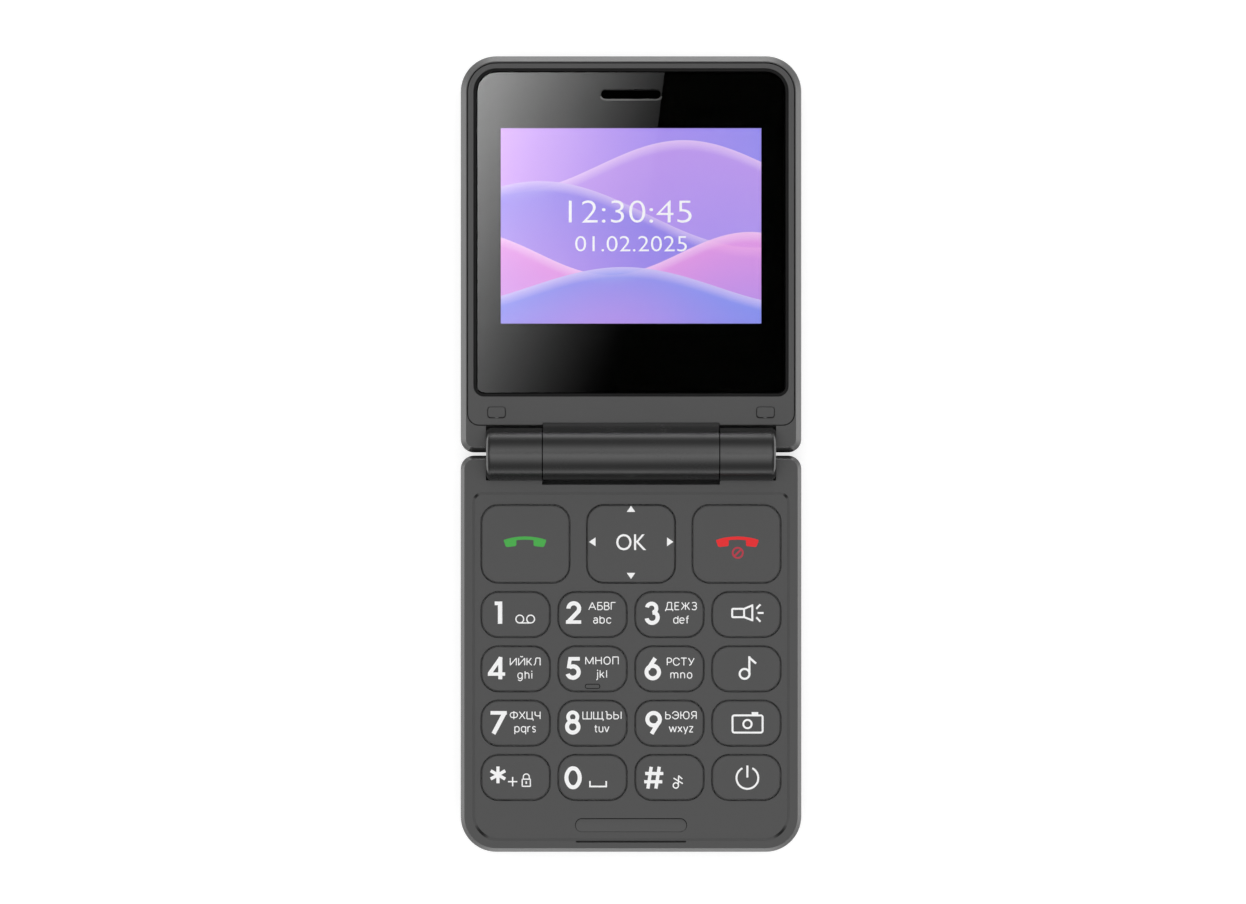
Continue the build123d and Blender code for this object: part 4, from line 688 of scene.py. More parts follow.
# %% Wave group
FILL_LEAST, CREST_THIN = 0.15, 9.0
wave_group, given, made = new_group(
    "wallpaper_wave",
    [("Place", "Vector", (0, 0, 0)), ("Level", "Float", 0.0), ("Swing", "Float", 0.3), ("Rate", "Float", 2.0),
     ("Shift", "Float", 0.0), ("Softness", "Float", 0.5)],
    [("Fill", "Float"), ("Crest", "Float")])
tree = wave_group
spot = add(tree, "SeparateXYZ", Vector=given["Place"]).outputs
angle = maths(tree, "ADD", times(tree, spot["X"], given["Rate"]), given["Shift"])
line = times(tree, maths(tree, "SINE", angle), given["Swing"])
depth = maths(tree, "SUBTRACT", maths(tree, "ADD", line, given["Level"]), spot["Y"])
under = maths(tree, "GREATER_THAN", depth, 0.0)
faded = maths(tree, "SUBTRACT", 1.0, times(tree, depth, given["Softness"]))
crest = maths(tree, "SUBTRACT", 1.0, times(tree, depth, CREST_THIN))
put_out(tree, made, Fill=times(tree, under, maths(tree, "MAXIMUM", faded, FILL_LEAST)),
        Crest=times(tree, under, maths(tree, "MAXIMUM", crest, 0.0)))

# %% [markdown]
# Four such waves over one another, on a ground that turns from pink to blue, make the picture. Each row of
# the table is one wave: level, swing, rate, shift, softness and tint. The display shines by itself, so the
# picture goes to the emission.

# %% Wallpaper finish
WAVES = [
    (0.62, 0.26, 2.4, 0.6, 0.6, (0.52, 0.30, 0.84)),
    (0.12, 0.34, 1.9, 2.9, 0.7, (0.24, 0.20, 0.80)),
    (-0.28, 0.22, 2.9, 5.2, 0.8, (0.84, 0.30, 0.76)),
    (-0.62, 0.20, 2.2, 1.7, 0.9, (0.14, 0.26, 0.86)),
]
GROUND = [(0.1, (0.66, 0.34, 0.86)), (0.55, (0.38, 0.26, 0.86)), (0.95, (0.24, 0.24, 0.84))]
GROUND_TURN, FILL_SHARE, CREST_SHARE, CREST_TINT = 0.3, 0.85, 0.55, (0.92, 0.72, 0.96, 1)
picture_width, picture_height = PICTURE[2] - PICTURE[0], PICTURE[3] - PICTURE[1]
tree, shader = start_finish("wallpaper", Base_Color=(0, 0, 0, 1), Emission_Strength=1.0, Roughness=0.4)
unit = add(tree, "Mapping", Vector=coords(tree),
           Scale=(2 / picture_width, 2 / picture_height, 1.0),
           Location=(0.0, -(PICTURE[1] + PICTURE[3]) / picture_height, 0.0)).outputs["Vector"]
across = add(tree, "SeparateXYZ", Vector=unit).outputs["X"]
colour = ramp(tree, maths(tree, "ADD", times(tree, across, GROUND_TURN), 0.5), GROUND)
for level, swing, rate, shift, softness, tint in WAVES:
    wave = use_group(tree, wave_group, Place=unit, Level=level, Swing=swing, Rate=rate, Shift=shift,
                     Softness=softness)
    colour = blend(tree, times(tree, wave["Fill"], FILL_SHARE), colour, (*tint, 1))
    colour = blend(tree, times(tree, wave["Crest"], CREST_SHARE), colour, CREST_TINT)
feed(tree, shader.inputs["Emission Color"], colour)
print("wallpaper", len(tree.nodes), "nodes")

# %% [markdown]
# The picture is a thin plate on the display panel. It is a little larger than the opening in the print, so
# no gap shows from the side.

# %% Lit picture
PICTURE_SPARE, PICTURE_R = 0.5 * MM, 0.3 * MM
panel_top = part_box("display_panel")[1].z
PICTURE_LOW, PICTURE_HIGH = panel_top + 0.003 * MM, panel_top + 0.03 * MM
bm = bmesh.new()
rounded_plate(bm, PICTURE[0] - PICTURE_SPARE, PICTURE[1] - PICTURE_SPARE, PICTURE[2] + PICTURE_SPARE,
              PICTURE[3] + PICTURE_SPARE, PICTURE_R, PICTURE_R, 3)
thicken(bm, PICTURE_LOW, PICTURE_HIGH)
make_piece(bm, "display_picture", "wallpaper", "lid")

# %% [markdown]
# Lettering for the clock and for the middle of the navigation key starts as a text curve in the built-in
# font. It is made a mesh, scaled into the box that it has to fill, and joined to the print's other strokes.

# %% Letters helper
def letters(bm, words, left, low, right, high, weight=0.0):
    """Flat letters that fill the given box."""
    curve = bpy.data.curves.new("words", "FONT")
    curve.body, curve.offset, curve.resolution_u = words, weight, 4
    holder = bpy.data.objects.new("words", curve)
    scene.collection.objects.link(holder)
    bpy.context.view_layer.update()
    flat = bpy.data.meshes.new_from_object(holder.evaluated_get(bpy.context.evaluated_depsgraph_get()))
    bpy.data.objects.remove(holder)
    bpy.data.curves.remove(curve)
    start = len(bm.verts)
    bm.from_mesh(flat)
    bpy.data.meshes.remove(flat)
    bm.verts.ensure_lookup_table()
    bmesh.ops.remove_doubles(bm, verts=bm.verts[start:], dist=1e-5)
    fresh = bm.verts[start:]
    xs, ys = [v.co.x for v in fresh], [v.co.y for v in fresh]
    stretch = Vector(((right - left) / (max(xs) - min(xs)), (high - low) / (max(ys) - min(ys)), 1))
    bmesh.ops.translate(bm, verts=fresh, vec=(-min(xs), -min(ys), 0))
    bmesh.ops.scale(bm, verts=fresh, vec=stretch)
    bmesh.ops.translate(bm, verts=fresh, vec=(left, low, 0))


print("letters helper ready")

# %% [markdown]
# The clock has a row for the time and a row for the date. Each row gives its words, the box that they fill
# in millimetres, and how much thinner than the font they are. The clock shines a little more than the
# wallpaper.

# %% Clock on the display
CLOCK_GAP, CLOCK_THICK, CLOCK_SPECKS = 0.002 * MM, 0.008 * MM, 2000.0
CLOCK_TONES = [(0.0, (0.86, 0.85, 0.95)), (1.0, (1.0, 1.0, 1.0))]
CLOCK_ROWS = [("12:30:45", -11.7, 43.5, 11.4, 47.7, -0.012), ("01.02.2025", -10.5, 38.1, 10.5, 41.0, -0.008)]
bm = bmesh.new()
for words, *edges, weight in CLOCK_ROWS:
    letters(bm, words, *[edge * MM for edge in edges], weight)
thicken(bm, PICTURE_HIGH + CLOCK_GAP, PICTURE_HIGH + CLOCK_THICK)
tree, shader = start_finish("clock_white", Base_Color=(0, 0, 0, 1), Emission_Strength=1.0)
even = add(tree, "TexNoise", Vector=coords(tree), Scale=CLOCK_SPECKS).outputs["Fac"]
feed(tree, shader.inputs["Emission Color"], ramp(tree, even, CLOCK_TONES))
make_piece(bm, "display_clock", "clock_white", "lid")

# %% [markdown]
# The earpiece is a slot with a fine blackened gauze in it, on a black dust cloth. A grid of faces is inset
# one by one, the middles are taken out, and what is left is a net. The slot's rounded ends are cut off it
# at a slant.

# %% Gauze
def gauze(bm, centre, half_wide, half_long, cut, pitch, wire):
    """A net of square holes in a plate with slanted corners."""
    spread_out = Matrix.Translation((*centre, 0)) @ Matrix.Diagonal((half_wide, half_long, 1, 1))
    columns, rows = round(2 * half_wide / pitch), round(2 * half_long / pitch)
    bmesh.ops.create_grid(bm, x_segments=columns, y_segments=rows, size=1.0, matrix=spread_out)
    for side in (-1, 1):
        for tip in (-1, 1):
            corner = (centre[0] + side * half_wide, centre[1] + tip * (half_long - cut), 0)
            bmesh.ops.bisect_plane(bm, geom=bm.verts[:] + bm.edges[:] + bm.faces[:], plane_co=corner,
                                   plane_no=(side, tip, 0), clear_outer=True)
    rims = set(bmesh.ops.inset_individual(bm, faces=bm.faces[:], thickness=wire / 2)["faces"])
    bmesh.ops.delete(bm, geom=[face for face in bm.faces if face not in rims], context="FACES_ONLY")


SLOT_SPARE, NET_PITCH, NET_WIRE, NET_CUT = 0.06 * MM, 0.3 * MM, 0.15 * MM, 0.5 * MM
EAR_SEAT, CLOTH_R = 8.45 * MM, SLOT_LONG * 0.4
NET_LOW, NET_HIGH = EAR_SEAT + 0.03 * MM, EAR_SEAT + 0.1 * MM
CLOTH_LOW, CLOTH_HIGH = EAR_SEAT + 0.005 * MM, EAR_SEAT + 0.025 * MM
moulded("black_gauze", grey(0.0008), 0.8, grain=9000.0, depth=0.001, specular=0.0)
bm = bmesh.new()
gauze(bm, (0, SLOT_AT), SLOT_WIDE / 2 - SLOT_SPARE, SLOT_LONG / 2 - SLOT_SPARE, NET_CUT, NET_PITCH, NET_WIRE)
thicken(bm, NET_LOW, NET_HIGH)
make_piece(bm, "earpiece_gauze", "black_gauze", "lid")
bm = bmesh.new()
rounded_plate(bm, SLOT_SPARE - SLOT_WIDE / 2, SLOT_AT - SLOT_LONG / 2 + SLOT_SPARE,
              SLOT_WIDE / 2 - SLOT_SPARE, SLOT_AT + SLOT_LONG / 2 - SLOT_SPARE, CLOTH_R, CLOTH_R)
thicken(bm, CLOTH_LOW, CLOTH_HIGH)
make_piece(bm, "earpiece_cloth", "black_gauze", "lid")

# %% [markdown]
# The speaker slots in the back have a gauze of their own, just behind the rear cover's skin. It is the same
# net, larger and coarser, and it keeps grit away from the loudspeaker.

# %% Speaker gauze
SOUND_AT, SOUND_HALF = (10.0 * MM, -10.94 * MM), (6.2 * MM, 3.0 * MM)
SOUND_CUT, SOUND_PITCH, SOUND_WIRE = 0.8 * MM, 0.4 * MM, 0.14 * MM
SOUND_SEAT = 1.2 * MM
bm = bmesh.new()
gauze(bm, SOUND_AT, *SOUND_HALF, SOUND_CUT, SOUND_PITCH, SOUND_WIRE)
thicken(bm, SOUND_SEAT + 0.01 * MM, SOUND_SEAT + 0.04 * MM)
make_piece(bm, "speaker_gauze", "sheet_steel", "base")

# %% [markdown]
# A camera is told by its eye. Between the camera's cover glass and its module go a black iris ring and a
# small domed lens. The ring's section is a short profile and the lens is a quarter arc, and both are spun
# round the camera's axis, since turned parts are best made the way that a lathe makes them.

# %% Camera iris and lens
def spin_profile(bm, points, centre, steps=48):
    """Spin an open profile of (radius, z) points round the upright axis through centre."""
    rail = [bm.verts.new((centre[0] + radius, centre[1], z)) for radius, z in points]
    chain = [bm.edges.new(pair) for pair in zip(rail, rail[1:])]
    bmesh.ops.spin(bm, geom=rail + chain, cent=(*centre, 0), axis=(0, 0, 1), angle=math.tau, steps=steps,
                   use_merge=True)
    bmesh.ops.remove_doubles(bm, verts=bm.verts[:], dist=1e-7)
    bmesh.ops.recalc_face_normals(bm, faces=bm.faces[:])


LENS_R, IRIS_R, IRIS_GAP, IRIS_SLOPE = 0.95 * MM, 1.9 * MM, 0.02 * MM, 0.25 * MM
DOME_STEPS = 6
module_low, module_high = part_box("camera_module")
eye_at = ((module_low.x + module_high.x) / 2, (module_low.y + module_high.y) / 2)
back_z, front_z = module_low.z - 0.01 * MM, module_low.z - 0.09 * MM
bm = bmesh.new()
spin_profile(bm, [(LENS_R + IRIS_GAP, back_z), (IRIS_R, back_z), (IRIS_R, front_z),
                  (LENS_R + IRIS_SLOPE, front_z), (LENS_R + IRIS_GAP, back_z)], eye_at)
make_piece(bm, "camera_iris", "seal_rubber", "lid", smooth=20)
bm = bmesh.new()
turns = [step * math.pi / 2 / DOME_STEPS for step in range(DOME_STEPS + 1)]
dome = [(LENS_R * math.cos(turn), back_z + (front_z - back_z) * math.sin(turn)) for turn in turns]
spin_profile(bm, [(0.0, back_z), *dome], eye_at)
tree, shader = start_finish("coated_lens", Coat_Weight=0.6, Specular_IOR_Level=0.8)
wear_skin(tree, shader, moulded_skin, None, Tone=(0.006, 0.006, 0.02, 1), Roughness=0.06, Grain=3000.0,
          Unevenness=0.5)
make_piece(bm, "camera_lens", "coated_lens", "lid", smooth=40)

# %% [markdown]
# The key legends are ink, printed a fiftieth of a millimetre thick. Each sign is a drawing of a few pen
# strokes, and five pens are enough: a straight bar is an edge that is extruded, a curve is an edge that is
# spun, a patch is one filled face, a disc is a dot, and a box is a frame of bars and curves. All sizes are
# in millimetres from the middle of the key. A table of the pens lets a drawing name the pen of each stroke.

# %% Pens
def bar(bm, x0, y0, x1, y1, width):
    run = Vector((x1 - x0, y1 - y0, 0))
    aside = Vector((-run.y, run.x, 0)).normalized() * width / 2
    ends = [bm.verts.new(Vector((x0, y0, 0)) + side * aside) for side in (1, -1)]
    drawn = bmesh.ops.extrude_edge_only(bm, edges=[bm.edges.new(ends)])["geom"]
    bmesh.ops.translate(bm, verts=[item for item in drawn if isinstance(item, bmesh.types.BMVert)], vec=run)


def arc(bm, x, y, radius, width, start=0.0, sweep=360.0):
    turn = Matrix.Rotation(math.radians(start), 3, "Z")
    across = [turn @ Vector((radius + side * width / 2, 0, 0)) for side in (-1, 1)]
    nib = [bm.verts.new(Vector((x, y, 0)) + end) for end in across]
    bmesh.ops.spin(bm, geom=[*nib, bm.edges.new(nib)], cent=(x, y, 0), axis=(0, 0, 1),
                   angle=math.radians(sweep), steps=max(6, round(abs(sweep) / 10)),
                   use_merge=sweep == 360.0)


def patch(bm, corners, rounding=0.0):
    ring = [bm.verts.new((x, y, 0)) for x, y in corners]
    bm.faces.new(ring)
    if rounding:
        round_corners(bm, ring, rounding, 4)


def disc(bm, x, y, radius):
    bmesh.ops.create_circle(bm, cap_ends=True, segments=20, radius=radius,
                            matrix=Matrix.Translation((x, y, 0)))


def box_line(bm, left, low, right, high, width, radius):
    """A frame whose corners turn on the given radius at the middle of the line."""
    left, low, right, high = left + width / 2, low + width / 2, right - width / 2, high - width / 2
    for y in (low, high):
        bar(bm, left + radius, y, right - radius, y, width)
    for x in (left, right):
        bar(bm, x, low + radius, x, high - radius, width)
    for x, y, start in ((right - radius, high - radius, 0), (left + radius, high - radius, 90),
                        (left + radius, low + radius, 180), (right - radius, low + radius, 270)):
        arc(bm, x, y, radius, width, start, 90)


PENS = {"bar": bar, "arc": arc, "patch": patch, "disc": disc, "box": box_line}
print("pens", sorted(PENS))

# %% [markdown]
# The same pens draw a thin bright strip along the lower side of the earpiece slot, as a painted highlight
# on the slot's edge. It is a straight bar with a part of a circle at each end, and it lies on the glass, just
# outside the slot. Its painted tone falls from left to right, as the glare beside it does.

# %% Painted highlight along the earpiece slot
LIP_LOW, LIP_HIGH, LIP_WIDE, LIP_TURN = 10.505 * MM, 10.53 * MM, 0.3 * MM, 65
LIP_HIGHLIGHT_TONES = [(0.05, 0.167), (0.45, 0.149), (0.65, 0.105), (0.85, 0.083), (0.95, 0.066)]
lip_r = SLOT_LONG / 2 + SLOT_SPARE + LIP_WIDE / 2
lip_end = (SLOT_WIDE - SLOT_LONG) / 2
bm = bmesh.new()
bar(bm, -lip_end, SLOT_AT - lip_r, lip_end, SLOT_AT - lip_r, LIP_WIDE)
for side, start in ((-1, 270 - LIP_TURN), (1, 270)):
    arc(bm, side * lip_end, SLOT_AT, lip_r, LIP_WIDE, start, LIP_TURN)
bmesh.ops.remove_doubles(bm, verts=bm.verts[:], dist=1e-7)
thicken(bm, LIP_LOW, LIP_HIGH)
moulded("lip_highlight_paint", grey(0.12), 0.45, grain=9000.0, depth=0.002, specular=0.12)
tree = finishes["lip_highlight_paint"].node_tree
from_left = maths(tree, "ADD", maths(tree, "DIVIDE", place(tree)["X"], SLOT_WIDE), 0.5)
# Painted highlight: its tone falls from left to right with the glare.
paint(tree, 1.0, ramp(tree, from_left, LIP_HIGHLIGHT_TONES))
make_piece(bm, "earpiece_lip_highlight", "lip_highlight_paint", "lid")

# %% [markdown]
# Ink is not quite even either, so its finish drifts a little in tone. White serves all keys but two: the
# call key has green ink, and the end key has red ink with a small sign in a darker red. The printer draws a
# key's strokes one by one. Where strokes cross, each is a hair higher than the one before it, because two
# faces in the same place would flicker.

# %% Inks and the printer
INK_LOW, INK_HIGH, INK_STEP = 0.001, 0.02, 0.001
INKS = {"white_ink": grey(0.92), "green_ink": (0.05, 0.4, 0.055), "red_ink": (0.79, 0.006, 0.01),
        "dark_red_ink": (0.46, 0.025, 0.05)}
for ink, tone in INKS.items():
    moulded(ink, tone, 0.5, grain=4000.0, depth=0.002, unevenness=0.05)


def print_key(key, strokes, ink="white_ink", words=(), name="legend"):
    low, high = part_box(key)
    bm = bmesh.new()
    for row in words:
        letters(bm, *row)
    thicken(bm, INK_LOW, INK_HIGH)
    layer = bpy.data.meshes.new("layer")
    for count, (pen, *sizes) in enumerate(strokes):
        stroke = bmesh.new()
        PENS[pen](stroke, *sizes)
        bmesh.ops.remove_doubles(stroke, verts=stroke.verts[:], dist=1e-4)
        thicken(stroke, INK_LOW, INK_HIGH + count * INK_STEP)
        stroke.to_mesh(layer)
        stroke.free()
        bm.from_mesh(layer)
    bpy.data.meshes.remove(layer)
    middle = Vector(((low.x + high.x) / 2, (low.y + high.y) / 2, min(KEY_TOP, high.z)))
    bmesh.ops.scale(bm, verts=bm.verts[:], vec=(MM, MM, MM))
    bmesh.ops.translate(bm, verts=bm.verts[:], vec=middle)
    make_piece(bm, key + "_" + name, ink, key)


print("inks", sorted(INKS))

# %% [markdown]
# The digits come first. They are bold and round, as on phones with large keys, and each is built from arcs
# of circles and straight strokes. The nought is an oval of four arcs: two of a large radius at its sides
# and two of a small one at its ends, which meet where both lean by the same angle.

# %% Digits
OVAL_SIDE, OVAL_END, OVAL_LEAN = 2.248, 0.95, 39.75
OVAL_X, OVAL_Y, OVAL_LINE = -3.66, -0.05, 0.76
OVAL_ASIDE, OVAL_ABOVE = 0.998, 0.83
digits = {
    "key_1": [("bar", -3.94, 2.10, -2.52, 2.10, 0.68), ("bar", -2.93, 2.44, -2.93, -1.73, 0.82)],
    "key_2": [("arc", -3.53, 1.12, 1.0, 0.78, -40, 220), ("bar", -2.72, 0.56, -4.62, -1.45, 0.78),
              ("bar", -5.0, -1.41, -2.14, -1.41, 0.64)],
    "key_3": [("arc", -3.35, 1.16, 0.89, 0.74, -80, 248), ("arc", -3.25, -0.53, 1.04, 0.76, -170, 255)],
    "key_4": [("bar", -2.75, 2.14, -4.93, -0.95, 0.72), ("bar", -5.22, -0.98, -1.98, -0.98, 0.63),
              ("bar", -2.89, 2.2, -2.89, -1.95, 0.76)],
    "key_5": [("bar", -4.5, 1.89, -2.4, 1.89, 0.67), ("bar", -4.19, 2.1, -4.52, 0.1, 0.66),
              ("arc", -3.68, -0.6, 1.07, 0.78, -160, 290)],
    "key_6": [("arc", -3.14, -0.61, 1.17, 0.76), ("bar", -2.68, 2.0, -4.06, -0.1, 0.77)],
    "key_7": [("bar", -4.72, 1.94, -1.66, 1.94, 0.67), ("bar", -2.1, 1.9, -4.16, -1.98, 0.8)],
    "key_8": [("arc", -3.72, 1.16, 0.87, 0.7), ("arc", -3.72, -0.69, 1.07, 0.76)],
    "key_9": [("arc", -2.98, 0.74, 1.17, 0.76), ("bar", -1.99, 0.2, -3.36, -1.98, 0.77)],
    "key_0": [stroke for side in (1, -1) for stroke in (
        ("arc", OVAL_X - side * OVAL_ASIDE, OVAL_Y, OVAL_SIDE, OVAL_LINE, 90 - side * 90 - OVAL_LEAN,
         2 * OVAL_LEAN),
        ("arc", OVAL_X, OVAL_Y + side * OVAL_ABOVE, OVAL_END, OVAL_LINE, side * 90 - 90 + OVAL_LEAN,
         180 - 2 * OVAL_LEAN))],
    "key_star": [("bar", -3.33, 2.06, -3.33, -1.08, 0.6), ("bar", -4.69, 1.27, -1.97, -0.29, 0.6),
                 ("bar", -4.69, -0.29, -1.97, 1.27, 0.6)],
    "key_hash": [("bar", -3.42, 2.0, -4.05, -2.08, 0.62), ("bar", -1.92, 2.0, -2.55, -2.08, 0.62),
                 ("bar", -4.55, 0.75, -1.15, 0.75, 0.6), ("bar", -4.75, -0.8, -1.35, -0.8, 0.6)],
}
print("digits", len(digits))

# %% [markdown]
# The letters beside the digits are drawn with the same pens, because thin type in one even line is what
# such keys carry. Each letter is one line of numbers on a grid where a capital is one unit high: its width,
# and then its strokes. Four numbers are a bar from one point to another. Five are an arc, with its middle,
# its radius, where it starts and how far it turns. Three are a disc.

# %% Capital letters
PEN_BY_COUNT = {3: "disc", 4: "bar", 5: "arc"}
capitals = {
    "А": "0.96: 0 0 0.48 1, 0.48 1 0.96 0, 0.17 0.34 0.79 0.34",
    "Б": "0.66: 0 0 0 1, 0 1 0.6 1, 0 0.57 0.36 0.57, 0 0 0.36 0, 0.36 0.285 0.285 -90 180",
    "В": "0.66: 0 0 0 1, 0 1 0.36 1, 0 0.53 0.38 0.53, 0 0 0.38 0, 0.36 0.765 0.235 -90 180, "
         "0.38 0.265 0.265 -90 180",
    "Г": "0.6: 0 0 0 1, 0 1 0.6 1",
    "Д": "1: 0.28 1 0.83 1, 0.28 1 0.23 0.45, 0.23 0.45 0.08 0.05, 0.83 1 0.83 0.05, 0 0.02 1 0.02, "
         "0 0.02 0 -0.2, 1 0.02 1 -0.2",
    "Е": "0.58: 0 0 0 1, 0 1 0.58 1, 0 0.52 0.5 0.52, 0 0 0.58 0",
    "Ж": "1.16: 0.58 0 0.58 1, 0.06 1 0.42 0.53, 0 0 0.42 0.53, 1.1 1 0.74 0.53, 1.16 0 0.74 0.53, "
         "0.42 0.53 0.74 0.53",
    "З": "0.645: 0.25 0.8 0.2 90 65, 0.25 1 0.4 1, 0.4 0.765 0.235 -90 180, 0.22 0.53 0.4 0.53, "
         "0.38 0.265 0.265 -90 180, 0.25 0 0.38 0, 0.25 0.22 0.22 205 65",
    "И": "0.84: 0 0 0 1, 0.84 0 0.84 1, 0 0 0.84 1",
    "Й": "0.84: 0 0 0 1, 0.84 0 0.84 1, 0 0 0.84 1, 0.42 1.33 0.17 200 140",
    "К": "0.64: 0 0 0 1, 0 0.5 0.2 0.5, 0.2 0.5 0.6 1, 0.2 0.5 0.64 0",
    "Л": "0.86: 0.86 0 0.86 1, 0.28 1 0.86 1, 0.28 1 0.22 0.3, 0.22 0.3 0 0",
    "М": "1.02: 0 0 0 1, 0 1 0.51 0.08, 0.51 0.08 1.02 1, 1.02 0 1.02 1",
    "Н": "0.78: 0 0 0 1, 0.78 0 0.78 1, 0 0.52 0.78 0.52",
    "О": "0.84: 0.42 0.58 0.42 0 180, 0.42 0.42 0.42 180 180, 0 0.42 0 0.58, 0.84 0.42 0.84 0.58",
    "П": "0.76: 0 0 0 1, 0 1 0.76 1, 0.76 0 0.76 1",
    "Р": "0.605: 0 0 0 1, 0 1 0.31 1, 0 0.41 0.31 0.41, 0.31 0.705 0.295 -90 180",
    "С": "0.8: 0.42 0.58 0.42 15 165, 0.42 0.42 0.42 180 165, 0 0.42 0 0.58",
    "Т": "0.8: 0 1 0.8 1, 0.4 0 0.4 1",
    "У": "0.78: 0 1 0.42 0.32, 0.78 1 0.32 0.1, 0.32 0.1 0.1 0",
    "Ф": "1: 0.5 -0.06 0.5 1.06, 0.35 0.53 0.35 90 180, 0.65 0.53 0.35 -90 180, 0.35 0.88 0.65 0.88, "
         "0.35 0.18 0.65 0.18",
    "Х": "0.78: 0 0 0.78 1, 0 1 0.78 0",
    "Ц": "0.86: 0 0 0 1, 0.72 0 0.72 1, 0 0 0.86 0, 0.86 0 0.86 -0.24",
    "Ч": "0.7: 0.7 0 0.7 1, 0 0.68 0 1, 0.26 0.68 0.26 180 90, 0.26 0.42 0.7 0.42",
    "Ш": "1.18: 0 0 0 1, 0.59 0 0.59 1, 1.18 0 1.18 1, 0 0 1.18 0",
    "Щ": "1.32: 0 0 0 1, 0.59 0 0.59 1, 1.18 0 1.18 1, 0 0 1.32 0, 1.32 0 1.32 -0.24",
    "Ъ": "0.86: 0 1 0.22 1, 0.22 0 0.22 1, 0.22 0 0.57 0, 0.22 0.57 0.57 0.57, 0.57 0.285 0.285 -90 180",
    "Ы": "1: 0 0 0 1, 0 0 0.36 0, 0 0.57 0.36 0.57, 0.36 0.285 0.285 -90 180, 1 0 1 1",
    "Ь": "0.65: 0 0 0 1, 0 0 0.36 0, 0 0.57 0.36 0.57, 0.36 0.285 0.285 -90 180",
    "Э": "0.8: 0.38 0.58 0.42 0 165, 0.38 0.42 0.42 195 165, 0.8 0.42 0.8 0.58, 0.24 0.52 0.8 0.52",
    "Ю": "1.14: 0 0 0 1, 0 0.52 0.38 0.52, 0.76 0.62 0.38 0 180, 0.76 0.38 0.38 180 180, "
         "0.38 0.38 0.38 0.62, 1.14 0.38 1.14 0.62",
    "Я": "0.68: 0.68 0 0.68 1, 0.31 1 0.68 1, 0.31 0.44 0.68 0.44, 0.31 0.72 0.28 90 180, 0.34 0.44 0 0",
}
print("capitals", len(capitals))

# %% [markdown]
# Small letters are narrower than round. Their bowl is two half circles with short straight sides between
# them, and most letters are that bowl with a stem beside it, or an arch that stands on two legs.

# %% Small letters
BOWL = "0.3 0.46 0.3 0 180, 0.3 0.3 0.3 180 180, 0 0.3 0 0.46, 0.6 0.3 0.6 0.46"
ARCH = "0.27 0.49 0.27 0 180, 0.54 0 0.54 0.49"
small_letters = {
    "a": "0.54: 0.54 0 0.54 0.51, 0.29 0.51 0.25 0 155, 0.22 0.22 0.22 90 180, 0.22 0.44 0.54 0.44, "
         "0.22 0 0.32 0, 0.32 0 0.54 0.15",
    "b": f"0.6: 0 0 0 1, {BOWL}",
    "c": "0.56: 0.3 0.46 0.3 25 155, 0.3 0.3 0.3 180 155, 0 0.3 0 0.46",
    "d": f"0.6: 0.6 0 0.6 1, {BOWL}",
    "e": "0.6: 0.3 0.46 0.3 0 180, 0 0.3 0 0.46, 0.6 0.4 0.6 0.46, 0 0.4 0.6 0.4, 0.3 0.3 0.3 180 140",
    "f": "0.4: 0.16 0 0.16 0.8, 0.36 0.8 0.2 80 100, 0 0.7 0.38 0.7",
    "g": f"0.6: {BOWL}, 0.6 0.76 0.6 0, 0.3 0 0.3 -150 150",
    "h": f"0.54: 0 0 0 1, {ARCH}",
    "i": "0: 0 0 0 0.76, 0 1 0.085",
    "j": "0.16: 0.16 -0.12 0.16 0.76, -0.02 -0.12 0.18 -90 90, 0.16 1 0.085",
    "k": "0.54: 0 0 0 1, 0.5 0.76 0 0.26, 0.19 0.42 0.54 0",
    "l": "0: 0 0 0 1",
    "m": "0.98: 0 0 0 0.76, 0.245 0.51 0.245 0 180, 0.49 0 0.49 0.51, 0.735 0.51 0.245 0 180, "
         "0.98 0 0.98 0.51",
    "n": f"0.54: 0 0 0 0.76, {ARCH}",
    "o": f"0.6: {BOWL}",
    "p": f"0.6: 0 -0.3 0 0.76, {BOWL}",
    "q": f"0.6: 0.6 -0.3 0.6 0.76, {BOWL}",
    "r": "0.32: 0 0 0 0.76, 0.3 0.46 0.3 82 98",
    "s": "0.46: 0.23 0.565 0.19 25 245, 0.23 0.185 0.19 -155 245",
    "t": "0.38: 0.16 0.19 0.16 0.95, 0.35 0.19 0.19 180 90, 0 0.7 0.38 0.7",
    "u": "0.52: 0 0.26 0 0.76, 0.26 0.26 0.26 180 180, 0.52 0 0.52 0.76",
    "v": "0.58: 0 0.76 0.29 0, 0.29 0 0.58 0.76",
    "w": "0.98: 0 0.76 0.245 0, 0.245 0 0.49 0.76, 0.49 0.76 0.735 0, 0.735 0 0.98 0.76",
    "x": "0.56: 0 0.76 0.56 0, 0 0 0.56 0.76",
    "y": "0.58: 0 0.76 0.3 0, 0.58 0.76 0.18 -0.3",
    "z": "0.5: 0 0.76 0.5 0.76, 0.5 0.76 0 0, 0 0 0.5 0",
}
print("small letters", len(small_letters))

# %% [markdown]
# A row of letters is set between a left and a right end and stands on a base, and the space between the
# letters follows from their widths. Each key has a row of capitals above a row of small letters.

